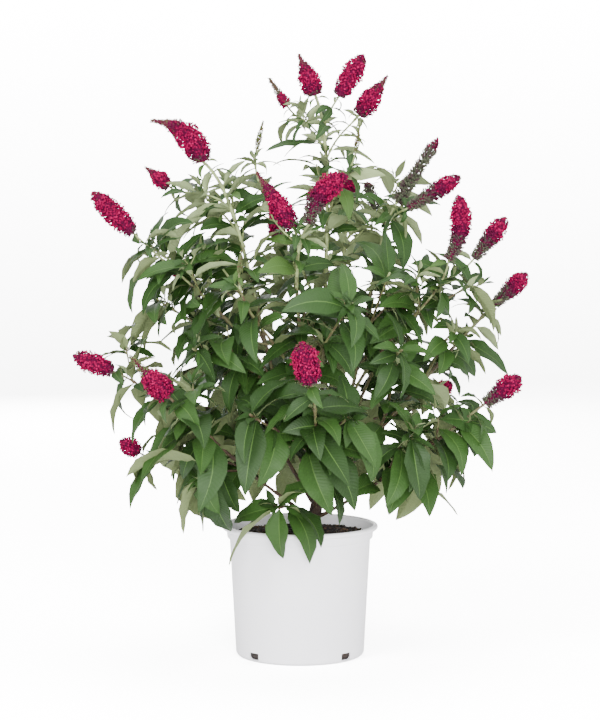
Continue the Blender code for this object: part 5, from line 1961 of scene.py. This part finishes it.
def floret_template():
    """An open floret facing +Z: a cross of four petals with a sunk throat, and a tapering tube behind."""
    angle = turns(PETAL_ROUND)
    notch = np.arange(PETAL_ROUND) % 2
    reach, lift = np.where(notch, PETAL_NOTCH, 1.0), np.where(notch, *PETAL_LIFT)
    rim = np.stack([reach * np.cos(angle), reach * np.sin(angle), lift], 1)
    points = np.vstack([rim, [[0, 0, -THROAT], [0, 0, -TUBE]]])
    return points, [fan(PETAL_ROUND, 0, PETAL_ROUND), fan(PETAL_ROUND + 1, 0, PETAL_ROUND, False)]


def bud_template(stalk):
    """A closed bud or an empty capsule: a small spindle along +Z on a tapering stalk."""
    return turned_surface([(0, -stalk), *BUD_OUTLINE], BUD_SIDES)


def along_head(at, rows):
    """The values at shares of a head, between rows that are evenly spaced along it."""
    steps = np.linspace(0, 1, len(rows))
    return np.stack([np.interp(at, steps, column) for column in rows.T], 1)


def head_places(head, spacing, rng):
    """Where a head's florets sit: rings up its axis, each turned by the golden angle from the last."""
    length = np.linalg.norm(vector(head.tip) - vector(head.base))
    outline = np.array(HEAD_OUTLINES[head.stage] + ((1.0, HEAD_TIP),)).T
    step = BUD_SPACING if head.stage == "bud" else spacing
    count = math.pi * head.width * HEAD_FILL * length / step**2
    count = max(int(count * (SPENT_FILL if head.stage == "spent" else 1.0)), FEWEST_FLORETS)
    steps = np.linspace(0, 1, HEAD_STEPS)
    room = np.cumsum(np.interp(steps, *outline) + TIP_ROOM)
    at = np.interp((np.arange(count) + 0.5) / count, room / room[-1], steps)
    at = np.clip(at + rng.normal(0, STRAY_ALONG, count), 0, 1)
    angle = np.arange(count) * GOLDEN_ANGLE + rng.normal(0, STRAY_ROUND, count)
    radius = np.interp(at, *outline) * head.width / 2
    axis = np.array([head_point(head, share) for share in np.linspace(0, 1, HEAD_AXIS_POINTS)])
    heading = normals_of(along_head(at, normals_of(np.gradient(axis, axis=0))))
    right, _ = frames_about(heading, angle)
    lean = np.clip(LEAN + at * TIP_LEAN, 0, MOST_LEAN)[:, None]
    out = normals_of(right + heading * lean + rng.normal(0, STRAY_OUT, (count, 3)))
    return at, along_head(at, axis), right, radius, out


def head_kinds(head, at, rng):
    """Each floret's kind, drawn by the odds of its own part of the head."""
    kinds = np.zeros(len(at), int)
    dried = 0.0
    if head.stage == "ripe":
        dried = np.clip((DRIED_BELOW - head.width) * DRIED_RATE, 0, MOST_DRIED)
    low = 0.0
    for top, odds in HEAD_STORIES[head.stage]:
        top = top + dried * (top < DRIED_UP_TO)
        here = (at >= low) & (at < top)
        kinds[here] = rng.choice([kind for kind, _ in odds], here.sum(), p=[odd for _, odd in odds])
        low = top
    return kinds


def add_florets(joined, head, shapes, spacing, rng):
    """Adds a head's florets, husks and buds to the batch, each standing out of the head."""
    at, middle, right, radius, out = head_places(head, spacing, rng)
    kinds = head_kinds(head, at, rng)
    for group, (template, faces), size in shapes:
        chosen = np.isin(kinds, group)
        many = int(chosen.sum())
        if not many:
            continue
        scale = size * rng.uniform(*FLORET_SIZES, many) * (BUD_HEAD_SIZE if head.stage == "bud" else 1.0)
        depth = rng.uniform(*FLORET_DEPTH, many) + FAR_FLORET * (rng.uniform(0, 1, many) < FAR_SHARE)
        off = np.maximum(radius[chosen] * depth - scale * 0.3, 0.0006)
        place = middle[chosen] + right[chosen] * off[:, None]
        first, second = frames_about(out[chosen], rng.uniform(0, math.tau, many))
        flat = placed(template, place, first, second, out[chosen], scale)
        joined.add(*copies(flat, faces, kinds[chosen][:, None]))


# The dark core inside a head: shares of the head's length, and the core's share of its radius there.
CORE_SHARES = {
    "fresh": ((0, 1), (0.62, 0.62)),
    "full": ((0, 1), (0.62, 0.62)),
    "opening": ((0, 0.5, 0.6, 1), (0.6, 0.6, 0.4, 0.4)),
    "ripe": ((0, 0.35, 0.5, 1), (0.52, 0.54, 0.62, 0.62)),
    "fading": ((0, 1), (0.4, 0.4)),
    "spent": ((0, 1), (0.36, 0.30)),
    "bud": ((0, 1), (0.2, 0.2)),
}
CORE_FINISH = {"bud": 1, "spent": 2, "fading": 2}
CORE_SIDES = 9
CORE_RINGS = 24
CORE_END = 1.02
CORE_CLOSING = 6
CORE_LEAST = 0.15
CORE_STRAY = 0.01
CORE_LUMPS = 0.22
CORE_LUMP_SCALE = 900.0
CORE_THINNEST = 0.0008


def head_core(head, number, rng):
    """The dark lumpy spindle inside a head, which keeps it from showing through."""
    shares = np.linspace(0, 1, CORE_RINGS)
    line = np.array([head_point(head, share) for share in shares])
    core = np.interp(shares, *np.array(HEAD_OUTLINES[head.stage]).T) * head.width / 2
    closing = np.clip((CORE_END - shares) * CORE_CLOSING, CORE_LEAST, 1)
    core = core * np.interp(shares, *CORE_SHARES[head.stage]) * closing
    lumps = ripple(line[:, None] + rng.normal(0, CORE_STRAY, (1, CORE_SIDES, 3)), CORE_LUMP_SCALE, number)
    return tubes(line, np.maximum(core, CORE_THINNEST), CORE_SIDES, 1 + CORE_LUMPS * lumps)


class BUSH_OT_blossom(bpy.types.Operator):
    """Sets florets, husks and buds on every flower head"""

    bl_idname = "bush.blossom"
    bl_label = "Blossom"

    def execute(self, context):
        """Each floret is a closed star of petals; buds are spindles; a dark core fills the head."""
        given = settings(context, "blossom")
        shapes = (
            ((BRIGHT, PAINTED_HIGHLIGHT, DEEP), floret_template(), given.floret_radius),
            ((SPENT, HUSK), bud_template(4.0), given.floret_radius * HUSK_SIZE),
            ((BUD, BUD_GREEN), bud_template(1.5), given.floret_radius * BUD_SIZE),
        )
        blossom, cores = (Batch(), Batch()), Batch()
        heads = [head for shoot in SHOOTS for head in shoot.heads if head.stage != "tuft"]
        for number, head in enumerate(heads):
            rng = np.random.default_rng(BLOSSOM_SEED + number)
            add_florets(blossom[number % 2], head, shapes, given.spacing, rng)
            cores.add(*head_core(head, number, rng), CORE_FINISH.get(head.stage, 0))
        finishes = plain(FLORET_FINISHES, given)
        for name, batch in zip(("blossom_one", "blossom_two"), blossom):
            dress(batch.build(name, finishes, smooth=False), "foliage", *foliage_nodes())
        dress(cores.build("blossom_cores", plain(CORE_FINISHES, given)), "foliage", *foliage_nodes())
        return {"FINISHED"}


# ---------------------------------------------------------------- the stage

AIM = (0.0, 0.0, 0.55)
# The soft lights: name, place, size in metres and power in watts.
LIGHTS = (
    ("key_light", (-2.2, -3.0, 3.4), 2.0, 190.0),
    ("front_light", (0.5, -4.6, 1.3), 2.0, 400.0),
    ("right_light", (3.2, -0.6, 1.8), 2.2, 50.0),
    ("back_light", (-0.8, 4.4, 2.0), 2.4, 110.0),
    ("top_light", (0.0, 0.6, 4.2), 2.6, 140.0),
)
SKY_STRENGTH = 1.3
PAPER_TONE = 0.9
PAPER_DROP = 0.0005
PAPER_ROUGH = 0.9
# The paper's half width, where it starts, bends up and ends, its bend's radius and points, and its top.
PAPER_HALF_WIDTH = 12
PAPER_RUN = (-9.0, 5.0, 8.0)
PAPER_BEND = 3.0
PAPER_BEND_POINTS = 16
PAPER_TOP = 9.0


def area_light(name, place, size, power):
    """A square soft light at place, turned to face the plant."""
    lamp = bpy.data.lights.new(name, "AREA")
    lamp.shape = "SQUARE"
    lamp.size = size
    lamp.energy = power
    obj = bpy.data.objects.new(name, lamp)
    obj.location = place
    obj.rotation_euler = (Vector(AIM) - Vector(place)).to_track_quat("-Z", "Y").to_euler()
    bpy.context.scene.collection.objects.link(obj)


def backdrop(given):
    """A floor that sweeps up behind the plant on a quarter circle, and that the camera sees brighter."""
    turn = np.linspace(0, math.pi / 2, PAPER_BEND_POINTS)
    start, bend, end = PAPER_RUN
    run = np.concatenate([[start], bend + PAPER_BEND * np.sin(turn), [end]])
    rise = np.concatenate([[0.0], PAPER_BEND - PAPER_BEND * np.cos(turn), [PAPER_TOP]]) - PAPER_DROP
    across_it = np.tile(np.linspace(-PAPER_HALF_WIDTH, PAPER_HALF_WIDTH, 3), len(run))
    points = np.stack([across_it, np.repeat(run, 3), np.repeat(rise, 3)], 1)
    paper, shader = finish_of("backdrop_paper", given.backdrop, PAPER_ROUGH, 0.0)
    tree = paper.node_tree
    place = tree.nodes.new("ShaderNodeTexCoord")
    height = tree.nodes.new("ShaderNodeSeparateXYZ")
    wire(tree, place.outputs["Object"], height.inputs["Vector"])
    risen = math_node(tree, "MULTIPLY", height.outputs["Z"], given.wall_glow)
    glow = math_node(tree, "ADD", risen, given.glow)
    wire(tree, seen_brighter(tree, given.backdrop[0] * PAPER_TONE, glow), shader.inputs["Base Color"])
    piece("backdrop", points, [grid(len(run), 3, False)], [paper])


def seen_brighter(tree, value, extra):
    """A value with extra added to it for camera rays alone."""
    seen = tree.nodes.new("ShaderNodeLightPath")
    return math_node(tree, "ADD", math_node(tree, "MULTIPLY", seen.outputs["Is Camera Ray"], extra), value)


class BUSH_OT_stage(bpy.types.Operator):
    """Builds the white floor and background, the soft lights and the camera"""

    bl_idname = "bush.stage"
    bl_label = "Stage"

    def execute(self, context):
        """The floor, the lights, the world and the camera, none of which belongs to the plant."""
        given = settings(context, "stage")
        backdrop(given)
        for light in LIGHTS:
            area_light(*light)
        world = bpy.data.worlds.new("studio")
        world.use_nodes = True
        sky = world.node_tree.nodes["Background"]
        sky.inputs["Color"].default_value = (1, 1, 1, 1)
        strength = seen_brighter(world.node_tree, SKY_STRENGTH, given.sky_glow)
        wire(world.node_tree, strength, sky.inputs["Strength"])
        context.scene.world = world
        lens = bpy.data.cameras.new("camera")
        lens.lens = given.lens
        lens.sensor_fit = "VERTICAL"
        lens.sensor_height = 36.0
        camera = bpy.data.objects.new("camera", lens)
        camera.location = (0.0, -given.camera_distance, given.camera_height)
        camera.rotation_euler = (math.pi / 2 - given.camera_pitch, 0.0, 0.0)
        context.scene.collection.objects.link(camera)
        context.scene.camera = camera
        return {"FINISHED"}


# ---------------------------------------------------------------- the panel and the run

OPERATORS = (
    BUSH_OT_stage,
    BUSH_OT_pot,
    BUSH_OT_soil,
    BUSH_OT_wood,
    BUSH_OT_shoots,
    BUSH_OT_leaves,
    BUSH_OT_blossom,
)


class BUSH_PT_panel(bpy.types.Panel):
    """Lists the settings and the operators of the bush"""

    bl_idname = "BUSH_PT_panel"
    bl_label = "Potted butterfly bush"
    bl_space_type = "VIEW_3D"
    bl_region_type = "UI"
    bl_category = "Bush"

    def draw(self, context):
        """One box for each group of settings, then one button for each operator."""
        for part in SETTINGS:
            box = self.layout.box()
            box.label(text=part.capitalize())
            group = settings(context, part)
            for name in type(group).__annotations__:
                box.prop(group, name)
        for operator in OPERATORS:
            self.layout.operator(operator.bl_idname)


def register():
    """Registers the settings, the operators and the panel."""
    for cls in (*SETTINGS.values(), *OPERATORS, BUSH_PT_panel):
        bpy.utils.register_class(cls)
    for part, cls in SETTINGS.items():
        setattr(bpy.types.Scene, f"bush_{part}", bpy.props.PointerProperty(type=cls))


def unregister():
    """Takes back all that register added."""
    for part in SETTINGS:
        delattr(bpy.types.Scene, f"bush_{part}")
    for cls in reversed((*SETTINGS.values(), *OPERATORS, BUSH_PT_panel)):
        bpy.utils.unregister_class(cls)


def main():
    """Runs every operator in order."""
    register()
    for operator in OPERATORS:
        group, name = operator.bl_idname.split(".")
        getattr(getattr(bpy.ops, group), name)()


if __name__ == "__main__":
    main()
